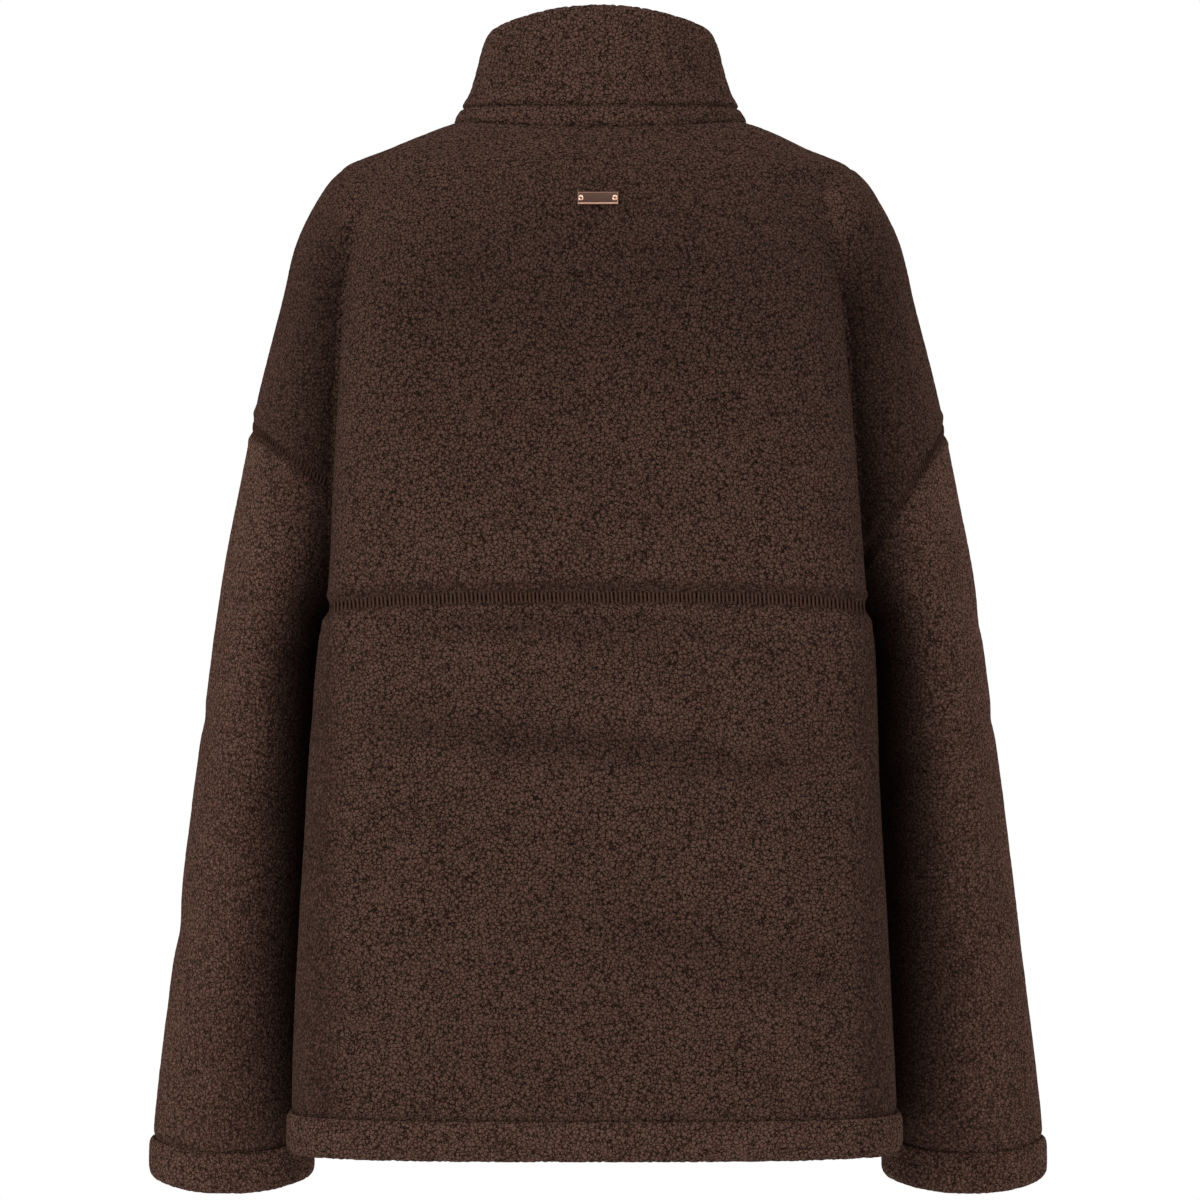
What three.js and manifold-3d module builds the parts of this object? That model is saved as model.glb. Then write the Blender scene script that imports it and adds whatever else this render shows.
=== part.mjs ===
// Sherpa fleece pullover, worn shape, hollow. Millimetres, +Z up, the wearer faces -Y, the wearer's left is +X.
// The origin is at shoulder height in the middle of the neck opening.
import * as THREE from "three";
import { mergeVertices } from "three/addons/utils/BufferGeometryUtils.js";
import Module from "manifold-3d";

const wasm = await Module();
wasm.setup();

// Driving sizes
const WALL = 4; // one layer of fleece with its pile
const GAP = 0.3; // between pieces at a seam
const SIDE_SEAM_Y = -12; // shoulder and side seams lie in this plane
const TORSO_END = -646.5; // where the hem band starts
const SLEEVE_END = -674; // where the cuff starts, at the sides
const HEM = { height: 23.5, out: 3.2, inside: 6 };
const CUFF = { height: 25, out: 2.6, inside: 6 };
const COLLAR = { side: 60, back: 77, front: 74, sink: 0.8 };
const PLATE = { width: 26, height: 8, thick: 1.2, z: -64, rim: 0.35 };
const BACK_SEAM = { middle: -316, end: -323, half: 177, groove: 1.9, width: 5 };

// Torso rings: z at the shoulder side, half width, back and front y, y of the widest place, roundness of the two
// halves, how far the ring drops at the back and at the front, and its shift to the wearer's left.
const TORSO = [
  { z: -3, half: 88, back: 60, front: -66, wide: -3, nb: 2.0, nf: 2.0, db: 6, df: 50, shift: -1.5 },
  { z: -9, half: 105, back: 71, front: -78, wide: -3, nb: 1.95, nf: 2.0, db: 8, df: 47, shift: -2 },
  { z: -22, half: 135, back: 88, front: -94, wide: -2, nb: 1.85, nf: 1.95, db: 10, df: 42, shift: 0 },
  { z: -38, half: 163, back: 101, front: -106, wide: 0, nb: 1.85, nf: 1.95, db: 11, df: 36, shift: 1 },
  { z: -60, half: 166, back: 110, front: -115, wide: 10, nb: 2.15, nf: 2.1, db: 10, df: 28, shift: 3 },
  { z: -90, half: 162, back: 116, front: -122, wide: 27, nb: 2.7, nf: 2.3, db: 7, df: 20, shift: 4 },
  { z: -150, half: 163, back: 122, front: -128, wide: 46, nb: 3.1, nf: 2.4, db: 4, df: 10, shift: 3 },
  { z: -240, half: 168, back: 125, front: -131, wide: 56, nb: 3.3, nf: 2.4, db: 1, df: 2, shift: 1.5 },
  { z: -320, half: 173, back: 124, front: -132, wide: 60, nb: 3.3, nf: 2.3, db: 0, df: 0, shift: 0.5 },
  { z: -345, half: 178, back: 127, front: -133, wide: 60, nb: 3.3, nf: 2.3, db: 0, df: 0, shift: 1 },
  { z: -450, half: 184, back: 130, front: -134, wide: 60, nb: 3.2, nf: 2.3, db: 0, df: 0, shift: 3 },
  { z: -575, half: 191, back: 132, front: -134, wide: 60, nb: 3.2, nf: 2.2, db: 0, df: 0, shift: 3 },
  { z: -675, half: 195, back: 131, front: -132, wide: 60, nb: 3.2, nf: 2.2, db: 0, df: 0, shift: 2 },
];

// Sleeve rings: inner and outer x, middle and half depth in y, roundness, drop at the back of the wrist.
const ARM = [
  { z: -33, inner: 140, outer: 156, mid: -3, depth: 12, n: 2.0, drop: 0 },
  { z: -38, inner: 128, outer: 169, mid: -3, depth: 34, n: 2.0, drop: 0 },
  { z: -56, inner: 122, outer: 183, mid: -2, depth: 58, n: 2.1, drop: 0 },
  { z: -88, inner: 121, outer: 198, mid: -2, depth: 72, n: 2.2, drop: 0 },
  { z: -121, inner: 123, outer: 206, mid: -4, depth: 76, n: 2.2, drop: 0 },
  { z: -187, inner: 130, outer: 223, mid: -8, depth: 77, n: 2.2, drop: 0 },
  { z: -250, inner: 142, outer: 236, mid: -11, depth: 76, n: 2.2, drop: 0 },
  { z: -295, inner: 157, outer: 245, mid: -13, depth: 74, n: 2.2, drop: 0 },
  { z: -330, inner: 177, outer: 250.5, mid: -16, depth: 72, n: 2.1, drop: 0 },
  { z: -383, inner: 182, outer: 258, mid: -22, depth: 69, n: 2.1, drop: 0 },
  { z: -450, inner: 185, outer: 267.5, mid: -28, depth: 65, n: 2.1, drop: 0 },
  { z: -580, inner: 189, outer: 284, mid: -36, depth: 55, n: 2.1, drop: 1 },
  { z: -645, inner: 191, outer: 292, mid: -38, depth: 46, n: 2.2, drop: 4 },
  { z: -674, inner: 191, outer: 294.5, mid: -38, depth: 41, n: 2.3, drop: 7 },
  { z: -702, inner: 192, outer: 295, mid: -38, depth: 39, n: 2.4, drop: 8 },
];

// Collar ring heights above and below: z of the base and of the top edge by direction, and the lean of the wall.
const COLLAR_SHAPE = [
  { up: 0, shrink: 0 },
  { up: 0.25, shrink: 4.5 },
  { up: 0.5, shrink: 8 },
  { up: 0.8, shrink: 12 },
  { up: 1, shrink: 17 },
];

// Largest folds: middle in x (or round the sleeve, degrees) and z, half length, half width, slope, depth.
const TORSO_FOLDS = [
  { face: 1, x: 20, z: -338, long: 95, wide: 9, slope: 0.02, deep: 3.2 },
  { face: 1, x: 25, z: -409, long: 130, wide: 11, slope: 0.09, deep: 4.2 },
  { face: 1, x: -90, z: -424, long: 55, wide: 9, slope: -0.06, deep: 3.0 },
  { face: 1, x: 95, z: -110, long: 16, wide: 60, slope: 0, deep: 2.4 },
  { face: 1, x: 14, z: -175, long: 22, wide: 80, slope: 0, deep: 2.0 },
  { face: 1, x: -70, z: -540, long: 90, wide: 22, slope: 0.25, deep: 2.4 },
  { face: -1, x: -15, z: -330, long: 100, wide: 12, slope: -0.05, deep: 3.4 },
  { face: -1, x: 40, z: -418, long: 85, wide: 13, slope: 0.12, deep: 3.6 },
  { face: -1, x: -60, z: -505, long: 80, wide: 20, slope: -0.22, deep: 2.6 },
];
const ARM_FOLDS = [
  { side: -1, at: 60, z: -306, long: 45, wide: 11, slope: 0.5, deep: 3.6 },
  { side: -1, at: 120, z: -420, long: 40, wide: 13, slope: -0.4, deep: 3.0 },
  { side: -1, at: -70, z: -360, long: 50, wide: 12, slope: 0.4, deep: 3.2 },
  { side: 1, at: 75, z: -330, long: 45, wide: 13, slope: -0.35, deep: 3.0 },
  { side: 1, at: 40, z: -520, long: 45, wide: 15, slope: 0.4, deep: 2.8 },
  { side: 1, at: -80, z: -400, long: 50, wide: 12, slope: -0.35, deep: 3.2 },
];

// Armhole seam: height at the outer edge, how steeply it falls toward the body at the back and elsewhere.
const ARMHOLE = {
  1: { outerX: 226, outerZ: -206, backSlope: 0.75, slope: 2.0 },
  [-1]: { outerX: 226, outerZ: -209, backSlope: 1.5, slope: 2.0 },
};

const TORSO_ROWS = [
  -3, -7, -12, -18, -25, -33, -42, -53, -66, -82, -102, -128, -158, -190, -222, -254, -282, -302, -310, -315, -319,
  -323, -328, -335, -343, -353, -366, -382, -396, -406, -415, -426, -442, -468, -510, -560, -610, -638, TORSO_END,
];
const TORSO_INNER_ROWS = [-3, -9, -18, -30, -46, -70, -105, -160, -225, -290, -320, -345, -380, -409, -440, -520, -600, TORSO_END];
const ARM_ROWS = [
  -33.5, -36, -42, -52, -70, -88, -112, -142, -175, -208, -240, -268, -292, -308, -322, -336, -355, -380, -405, -432,
  -468, -510, -560, -610, -645, -668, SLEEVE_END,
];
const ARM_INNER_ROWS = [-38, -48, -62, -88, -130, -187, -240, -280, -308, -330, -370, -420, -480, -560, -630, SLEEVE_END];
const TORSO_SEGMENTS = 52, TORSO_INNER_SEGMENTS = 36, ARM_SEGMENTS = 28, ARM_INNER_SEGMENTS = 20;

// Smooth reading of a table between its rows (monotone cubic).
function read(table, key, z) {
  const n = table.length;
  if (z >= table[0].z) return table[0][key];
  if (z <= table[n - 1].z) return table[n - 1][key];
  let k = 0;
  while (z < table[k + 1].z) k++;
  const slope = (i) => (table[i + 1][key] - table[i][key]) / (table[i + 1].z - table[i].z);
  const tangent = (i) => {
    if (i === 0) return slope(0);
    if (i === n - 1) return slope(n - 2);
    const a = slope(i - 1), b = slope(i);
    return a * b <= 0 ? 0 : (2 * a * b) / (a + b);
  };
  const h = table[k + 1].z - table[k].z, s = (z - table[k].z) / h;
  const p0 = table[k][key], p1 = table[k + 1][key], m0 = tangent(k) * h, m1 = tangent(k + 1) * h;
  return p0 * (2 * s ** 3 - 3 * s * s + 1) + m0 * (s ** 3 - 2 * s * s + s) + p1 * (3 * s * s - 2 * s ** 3) + m1 * (s ** 3 - s * s);
}
const power = (value, n) => Math.sign(value) * Math.abs(value) ** (2 / n);
const bell = (value) => Math.exp(-value * value);

function backSeam(x) {
  const s = Math.min(1.2, Math.abs(x) / BACK_SEAM.half);
  return BACK_SEAM.middle + (BACK_SEAM.end - BACK_SEAM.middle) * s ** 4;
}

// A fold's depth at a place; s runs along it and t across it.
const foldDepth = (f, s, t) => f.deep * bell(t / f.wide) * bell((s / f.long) ** 2);

function torsoBase(angle, z) {
  const c = Math.cos(angle), s = Math.sin(angle);
  const half = read(TORSO, "half", z), wide = read(TORSO, "wide", z);
  const n = read(TORSO, s > 0 ? "nb" : "nf", z);
  const x = read(TORSO, "shift", z) + half * power(c, n);
  const y = s > 0
    ? wide + (read(TORSO, "back", z) - wide) * power(s, n)
    : wide + (wide - read(TORSO, "front", z)) * power(s, n);
  const drop = s > 0 ? read(TORSO, "db", z) * s * s : read(TORSO, "df", z) * s * s;
  return new THREE.Vector3(x, y, z - drop);
}

function armBase(side, angle, z) {
  const c = Math.cos(angle), s = Math.sin(angle);
  const inner = read(ARM, "inner", z), outer = read(ARM, "outer", z), n = read(ARM, "n", z);
  const x = (inner + outer) / 2 + ((outer - inner) / 2) * power(c, n);
  const y = read(ARM, "mid", z) + read(ARM, "depth", z) * power(s, n);
  return new THREE.Vector3(side * x, y, z - read(ARM, "drop", z) * Math.max(0, s) ** 2);
}

function normalOf(surface, angle, z, outward, flatBelow) {
  const da = 0.02, dz = 1.2;
  const across = surface(angle + da, z).sub(surface(angle - da, z));
  const down = surface(angle, z - dz).sub(surface(angle, z + dz));
  const n = down.cross(across).normalize().multiplyScalar(outward);
  if (z <= flatBelow) n.setZ(0).normalize();
  return n.lengthSq() > 0.5 ? n : new THREE.Vector3(0, 0, 1);
}

function torso(angle, z, out, trimmed = true) {
  const p = torsoBase(angle, z), n = normalOf(torsoBase, angle, z, 1, TORSO_END);
  let move = out;
  const face = p.y > 20 ? 1 : -1;
  for (const f of TORSO_FOLDS)
    if (f.face === face) {
      const s = p.x - f.x;
      move -= foldDepth(f, s, p.z - f.z - f.slope * s) * Math.min(1, Math.abs(p.y - 20) / 40);
    }
  if (trimmed) {
    if (p.y > SIDE_SEAM_Y) move -= BACK_SEAM.groove * bell((p.z - backSeam(p.x)) / BACK_SEAM.width);
    move -= 1.8 * bell((z - TORSO_END) / 4) + 1.6 * bell((z + 3) / 5);
  }
  return p.addScaledVector(n, move);
}

function arm(side, angle, z, out, trimmed = true) {
  const base = (a, h) => armBase(side, a, h);
  const p = armBase(side, angle, z), n = normalOf(base, angle, z, side, SLEEVE_END);
  let move = out;
  for (const f of ARM_FOLDS)
    if (f.side === side) {
      const turn = ((((angle * 180) / Math.PI - f.at + 540) % 360) - 180) * 0.9;
      move -= foldDepth(f, turn, p.z - f.z - f.slope * turn);
    }
  if (trimmed) {
    move -= 1.6 * bell((z - SLEEVE_END) / 4);
    move -= 1.6 * bell((p.z - armhole(side, p.x, p.y)) / 7);
  }
  return p.addScaledVector(n, move);
}

function armhole(side, x, y) {
  const a = ARMHOLE[side];
  const t = Math.min(1, Math.max(0, (y + 15) / 60));
  const slope = a.slope + (a.backSlope - a.slope) * t * t * (3 - 2 * t);
  return a.outerZ - (a.outerX - side * x) * slope;
}

// Solids from points
function solid(points, faces) {
  const data = new Float32Array(points.length * 3);
  points.forEach((p, i) => data.set([p.x, p.y, p.z], i * 3));
  const make = (list) =>
    new wasm.Manifold(new wasm.Mesh({ numProp: 3, vertProperties: data, triVerts: new Uint32Array(list.flat()) }));
  const made = make(faces);
  return made.volume() >= 0 ? made : make(faces.map(([a, b, c]) => [a, c, b]));
}

// Rings joined into a closed body, capped at both ends.
function loft(rings) {
  const m = rings[0].length, points = rings.flat(), faces = [];
  for (let j = 0; j + 1 < rings.length; j++)
    for (let i = 0; i < m; i++) {
      const a = j * m + i, d = j * m + ((i + 1) % m), b = a + m, c = d + m;
      faces.push([a, b, c], [a, c, d]);
    }
  for (const [ring, first, turned] of [[rings[0], 0, false], [rings.at(-1), (rings.length - 1) * m, true]]) {
    const middle = ring.reduce((sum, p) => sum.add(p), new THREE.Vector3()).divideScalar(m);
    const at = points.push(middle) - 1;
    for (let i = 0; i < m; i++) {
      const a = first + i, b = first + ((i + 1) % m);
      faces.push(turned ? [at, b, a] : [at, a, b]);
    }
  }
  return solid(points, faces);
}

// Closed profiles joined into a band that runs all round.
function band(profiles) {
  const n = profiles.length, m = profiles[0].length, faces = [];
  for (let i = 0; i < n; i++)
    for (let k = 0; k < m; k++) {
      const a = i * m + k, b = i * m + ((k + 1) % m);
      const c = ((i + 1) % n) * m + ((k + 1) % m), d = ((i + 1) % n) * m + k;
      faces.push([a, b, c], [a, c, d]);
    }
  return solid(profiles.flat(), faces);
}

const angles = (n) => Array.from({ length: n }, (_, i) => (2 * Math.PI * i) / n);
const moved = (ring, dz) => ring.map((p) => new THREE.Vector3(p.x, p.y, p.z + dz));

// A block between two heights that may vary over the plan.
function slab(x0, x1, y0, y1, low, high, nx = 12, ny = 12) {
  const points = [], faces = [], w = nx + 1, count = w * (ny + 1);
  for (const f of [low, high])
    for (let j = 0; j <= ny; j++)
      for (let i = 0; i <= nx; i++) {
        const x = x0 + ((x1 - x0) * i) / nx, y = y0 + ((y1 - y0) * j) / ny;
        points.push(new THREE.Vector3(x, y, f(x, y)));
      }
  for (let j = 0; j < ny; j++)
    for (let i = 0; i < nx; i++) {
      const a = j * w + i, b = a + 1, c = a + w + 1, d = a + w;
      faces.push([a, c, b], [a, d, c], [count + a, count + b, count + c], [count + a, count + c, count + d]);
    }
  const wall = (a, b) => faces.push([a, b, count + b], [a, count + b, count + a]);
  for (let i = 0; i < nx; i++) {
    wall(i, i + 1);
    wall(ny * w + i + 1, ny * w + i);
  }
  for (let j = 0; j < ny; j++) {
    wall((j + 1) * w, j * w);
    wall(j * w + nx, (j + 1) * w + nx);
  }
  return solid(points, faces);
}

// Torso and arms, full and hollow forms
const torsoRings = (rows, n, out, trimmed) => rows.map((z) => angles(n).map((a) => torso(a, z, out, trimmed)));
const torsoFull = loft(torsoRings(TORSO_ROWS, TORSO_SEGMENTS, 0, true));
const torsoClear = loft(torsoRings(TORSO_ROWS, TORSO_SEGMENTS, GAP, true));
const innerRings = torsoRings(TORSO_INNER_ROWS, TORSO_INNER_SEGMENTS, -WALL, false);
const torsoHollow = loft([moved(innerRings[0], 60), ...innerRings, moved(innerRings.at(-1), -30)]);

const armRings = (side, rows, n, out, trimmed) => rows.map((z) => angles(n).map((a) => arm(side, a, z, out, trimmed)));
const arms = {};
for (const side of [1, -1]) {
  const inner = armRings(side, ARM_INNER_ROWS, ARM_INNER_SEGMENTS, -WALL, false);
  arms[side] = {
    full: loft(armRings(side, ARM_ROWS, ARM_SEGMENTS, 0, true)),
    hollow: loft([...inner, moved(inner.at(-1), -30)]),
  };
}

// Stand collar, taller at the back, folded over at its top edge.
function collarPoint(angle, up, out) {
  const s = Math.sin(angle);
  const base = torsoBase(angle, -3), height = s > 0 ? COLLAR.side + (COLLAR.back - COLLAR.side) * s * s : COLLAR.side + (COLLAR.front - COLLAR.side) * s * s;
  const table = COLLAR_SHAPE.map((r) => ({ z: -r.up, shrink: r.shrink }));
  const shrink = read(table, "shrink", -up);
  const n = new THREE.Vector3(base.x / 88, base.y / 66, 0).normalize();
  return new THREE.Vector3(base.x, base.y, base.z - COLLAR.sink + height * up).addScaledVector(n, out - shrink);
}
const COLLAR_SECTION = [
  { up: 0, out: -7 }, { up: 0.3, out: -7.8 }, { up: 0.62, out: -8 }, { up: 0.92, out: -7.6 }, { up: 0.985, out: -5.6 },
  { up: 1, out: -3.4 }, { up: 0.975, out: -0.6 }, { up: 0.9, out: 0.6 }, { up: 0.6, out: 1.2 }, { up: 0.3, out: 2.0 },
  { up: 0.165, out: 3.4 }, { up: 0.13, out: 1.4 }, { up: 0.1, out: 5.0 }, { up: 0.03, out: 7.6 }, { up: 0, out: 5.6 },
];
const collar = band(angles(44).map((a) => COLLAR_SECTION.map(({ up, out }) => collarPoint(a, up, out))));
// The same section grown by the gap and sunk a little, taken out of the panels where the collar stands on them.
const COLLAR_ROOM = [{ up: 0, out: -9 }, { up: 0.3, out: -9 }, { up: 0.3, out: 9 }, { up: 0, out: 7 }];
const collarRoom = band(angles(44).map((a) => COLLAR_ROOM.map(({ up, out }) => collarPoint(a, up, out).add(new THREE.Vector3(0, 0, up ? 0 : -GAP)))));

// Pieces
const half = GAP / 2;
const everyX = [-400, 400];
const back = slab(...everyX, SIDE_SEAM_Y + half, 300, () => -900, () => 200, 1, 1);
const front = slab(...everyX, -300, SIDE_SEAM_Y - half, () => -900, () => 200, 1, 1);
const upper = slab(-220, 220, -300, 300, (x) => backSeam(x) + half, () => 200, 16, 1);
const lower = slab(-260, 260, -300, 300, () => -900, (x) => backSeam(x) - half, 16, 1);

let body = torsoFull.subtract(torsoHollow).subtract(collarRoom);
const sleeves = {};
for (const side of [1, -1]) {
  const range = side > 0 ? [60, 330] : [-330, -60];
  const above = slab(...range, -160, 160, (x, y) => armhole(side, x, y) + half, () => 100, 8, 8);
  const below = slab(...range, -160, 160, () => -900, (x, y) => armhole(side, x, y) - half, 8, 8);
  const { full, hollow } = arms[side];
  const shell = full.subtract(hollow);
  const cap = shell.intersect(above).subtract(torsoHollow);
  body = body.subtract(hollow).add(cap);
  sleeves[side] = shell.intersect(below).subtract(torsoClear);
}

const largest = (made) => made.decompose().sort((a, b) => b.volume() - a.volume())[0];
const torsoLow = torsoHollow;
const pieces = {
  back_upper: body.intersect(back).intersect(upper),
  back_lower: body.intersect(back).intersect(lower),
  front: body.intersect(front),
  collar,
  sleeve_left: sleeves[1].subtract(torsoLow),
  sleeve_right: sleeves[-1].subtract(torsoLow),
};

// A folded band: its section goes round from the top inside edge, over the rounded bottom fold.
function foldedBand(place, top, height, out, inside, n) {
  const section = [
    [-inside + 1.5, 0], [-inside, 4], [-inside, height - 6], [-inside + 2, height - 1.5], [(out - inside) / 2, height],
    [out - 2, height - 1.5], [out, height - 6], [out, 6], [out - 0.5, 1], [0.9, -1.6],
    [-1, -1.3], [-1.2, 0],
  ];
  return band(angles(n).map((a) => section.map(([o, d]) => place(a, top, o, d))));
}
const torsoBand = (a, top, o, d) => {
  const p = torso(a, top, o, false);
  return new THREE.Vector3(p.x, p.y, p.z - GAP - d);
};
pieces.hem = foldedBand(torsoBand, TORSO_END, HEM.height, HEM.out, HEM.inside, 52);
for (const side of [1, -1]) {
  const cuffPlace = (a, top, o, d) => {
    const p = arm(side, a, top, o, false);
    return new THREE.Vector3(p.x, p.y, p.z - GAP - d);
  };
  pieces[side > 0 ? "cuff_left" : "cuff_right"] = foldedBand(cuffPlace, SLEEVE_END, CUFF.height, CUFF.out, CUFF.inside, ARM_SEGMENTS);
}

// Bare plate on the upper back, made from the panel's own points and moved out.
function platePoint(x, z, out) {
  let low = 0.3, high = Math.PI - 0.3;
  let best = null;
  for (let ring = 0; ring < 40; ring++) {
    const angle = (low + high) / 2;
    if (torso(angle, z, 0).x > x) low = angle;
    else high = angle;
    best = angle;
  }
  let level = z;
  for (let k = 0; k < 20; k++) level += z - torso(best, level, 0).z;
  return torso(best, level, out);
}
{
  const columns = 8, rows = 4, grid = [];
  for (const out of [0.5, 0.5 + PLATE.thick])
    for (let j = 0; j <= rows; j++)
      for (let i = 0; i <= columns; i++) {
        const x = (i / columns - 0.5) * PLATE.width, z = PLATE.z + (0.5 - j / rows) * PLATE.height;
        const rim = i === 0 || j === 0 || i === columns || j === rows;
        grid.push(platePoint(x, z, out + (rim && out > 1 ? PLATE.rim : 0)));
      }
  const w = columns + 1, count = w * (rows + 1), faces = [];
  for (let j = 0; j < rows; j++)
    for (let i = 0; i < columns; i++) {
      const a = j * w + i, b = a + 1, c = a + w + 1, d = a + w;
      faces.push([a, b, c], [a, c, d], [count + a, count + c, count + b], [count + a, count + d, count + c]);
    }
  const wall = (a, b) => faces.push([a, count + b, b], [a, count + a, count + b]);
  for (let i = 0; i < columns; i++) {
    wall(i, i + 1);
    wall(rows * w + i + 1, rows * w + i);
  }
  for (let j = 0; j < rows; j++) {
    wall((j + 1) * w, j * w);
    wall(j * w + columns, (j + 1) * w + columns);
  }
  pieces.label_plate = solid(grid, faces);
}

const pullover = new THREE.Group();
for (const [name, made] of Object.entries(pieces)) {
  const mesh = largest(made).getMesh(), n = mesh.numProp;
  const position = new Float32Array(mesh.numVert * 3);
  for (let i = 0; i < mesh.numVert; i++) position.set(mesh.vertProperties.subarray(i * n, i * n + 3), i * 3);
  const geometry = new THREE.BufferGeometry()
    .setAttribute("position", new THREE.BufferAttribute(position, 3))
    .setIndex(new THREE.BufferAttribute(mesh.triVerts, 1));
  const piece = new THREE.Mesh(mergeVertices(geometry, 1e-4));
  piece.name = name;
  pullover.add(piece);
}

export default pullover;
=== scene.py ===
"""A worn, hollow sherpa fleece pullover, dressed over its CAD frame: fleece walls with a curly pile, folded
bands, stand collar, flatlock stitching and a bare plate. Sizes are in millimetres until a mesh is made."""

import logging
from collections.abc import Callable
from dataclasses import dataclass
from enum import Enum

import bmesh
import bpy
import numpy as np
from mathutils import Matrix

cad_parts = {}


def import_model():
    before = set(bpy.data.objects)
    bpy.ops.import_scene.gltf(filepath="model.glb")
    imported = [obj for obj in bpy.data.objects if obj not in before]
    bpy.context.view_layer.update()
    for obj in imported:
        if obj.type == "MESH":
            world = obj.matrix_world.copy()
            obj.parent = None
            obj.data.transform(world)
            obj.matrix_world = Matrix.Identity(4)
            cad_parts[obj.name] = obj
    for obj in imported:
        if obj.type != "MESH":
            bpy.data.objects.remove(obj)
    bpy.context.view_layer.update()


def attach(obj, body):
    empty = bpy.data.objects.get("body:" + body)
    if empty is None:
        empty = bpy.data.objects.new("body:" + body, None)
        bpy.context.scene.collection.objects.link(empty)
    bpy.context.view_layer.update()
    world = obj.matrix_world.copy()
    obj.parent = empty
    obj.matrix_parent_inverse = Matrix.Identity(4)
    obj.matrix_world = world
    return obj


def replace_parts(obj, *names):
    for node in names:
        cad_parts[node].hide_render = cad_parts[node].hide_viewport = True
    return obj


LOG = logging.getLogger("pullover")

# Driving sizes
MM = 0.001
WALL = 4.0
GAP = 0.3
SIDE_SEAM_Y = -12.0
NECK_Z, ARM_TOP_Z, SHOULDER_Z = -3.0, -33.3, -60.0
TORSO_END, SLEEVE_END = -646.5, -674.0
# Height of the ring on which points are spaced evenly
EVEN_Z = -300.0
TORSO_COLUMNS = ("z", "half", "back", "front", "wide", "nb", "nf", "db", "df", "shift")
TORSO_TABLE = (
    (-3, 88, 60, -66, -3, 2.0, 2.0, 6, 50, -1.5),
    (-9, 105, 71, -78, -3, 1.95, 2.0, 8, 47, -2),
    (-22, 135, 88, -94, -2, 1.85, 1.95, 10, 42, 0),
    (-38, 167, 101, -106, 0, 1.85, 1.95, 11, 36, 1),
    (-60, 166, 110, -115, 10, 2.15, 2.1, 10, 28, 3),
    (-90, 162, 116, -122, 27, 2.7, 2.3, 7, 20, 4),
    (-150, 163, 122, -128, 46, 3.1, 2.4, 4, 10, 3),
    (-240, 168, 125, -131, 56, 3.3, 2.4, 1, 2, 1.5),
    (-320, 173, 124, -132, 60, 3.3, 2.3, 0, 0, 0.5),
    (-345, 178, 127, -133, 60, 3.3, 2.3, 0, 0, 1),
    (-450, 184, 130, -134, 60, 3.2, 2.3, 0, 0, 3),
    (-575, 191, 132, -134, 60, 3.2, 2.2, 0, 0, 3),
    (-675, 195, 131, -132, 60, 3.2, 2.2, 0, 0, 2),
)
ARM_COLUMNS = ("z", "inner", "outer", "mid", "depth", "n", "drop")
ARM_TABLE = (
    (-33, 140, 156, -3, 12, 2.0, 0),
    (-38, 128, 169, -3, 34, 2.0, 0),
    (-56, 122, 183, -2, 58, 2.1, 0),
    (-88, 121, 198, -2, 72, 2.2, 0),
    (-121, 123, 206, -4, 76, 2.2, 0),
    (-187, 130, 223, -8, 77, 2.2, 0),
    (-250, 142, 236, -11, 76, 2.2, 0),
    (-295, 157, 245, -13, 74, 2.2, 0),
    (-330, 177, 250.5, -16, 72, 2.1, 0),
    (-383, 182, 258, -22, 69, 2.1, 0),
    (-450, 185, 267.5, -28, 65, 2.1, 0),
    (-580, 189, 284, -36, 55, 2.1, 1),
    (-645, 191, 292, -38, 46, 2.2, 4),
    (-674, 191, 294.5, -38, 41, 2.3, 7),
    (-702, 192, 295, -38, 39, 2.4, 8),
)


class Side(Enum):
    """Which side of the wearer a piece is on."""

    LEFT = 1
    RIGHT = -1


class Skin(Enum):
    """What a face of a cut form was before the cut."""

    OUTSIDE = 0
    HOLLOW = 1
    CUT = 2


class Run(Enum):
    """What the top or bottom of a cutting block follows."""

    LEVEL = 0
    BACK_SEAM = 1
    ARMHOLE_LEFT = 2
    ARMHOLE_RIGHT = 3


class CellPart(Enum):
    """Where a distance in a field of cells is measured from."""

    MIDDLE = "F1"
    EDGE = "DISTANCE_TO_EDGE"


class Change(Enum):
    """How two closed forms are joined."""

    CUT = "DIFFERENCE"
    ADD = "UNION"
    KEEP = "INTERSECT"


@dataclass(frozen=True)
class Detail:
    """Spacing of the fine grids, in millimetres."""

    row: float = 1.6
    back: float = 1.6
    front: float = 2.9
    arm: float = 1.75
    band: float = 1.6
    hollow: float = 14.0

    @classmethod
    def chosen(cls) -> "Detail":
        return cls()


@dataclass(frozen=True)
class Seam:
    """A flatlock seam: height in the middle and at the ends, and its groove."""

    middle: float = -316.0
    end: float = -323.0
    half: float = 177.0
    groove: float = 1.9
    width: float = 5.0
    pitch: float = 2.6
    band: float = 8.4


@dataclass(frozen=True)
class Armhole:
    """Armhole seam: its outer end, and how steeply it falls toward the body."""

    outer_x: float
    outer_z: float
    back_slope: float
    slope: float = 2.0


@dataclass(frozen=True)
class Fold:
    """A soft fold: place, half length, half width, slope and depth. Depth below zero makes a ridge."""

    at: float
    z: float
    long: float
    wide: float
    slope: float
    deep: float
    face: int = 1


@dataclass(frozen=True)
class Ridge:
    """A rounded line along a seam or rim: its height above that line, how far it stands out, half width."""

    at: float
    high: float
    wide: float


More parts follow.
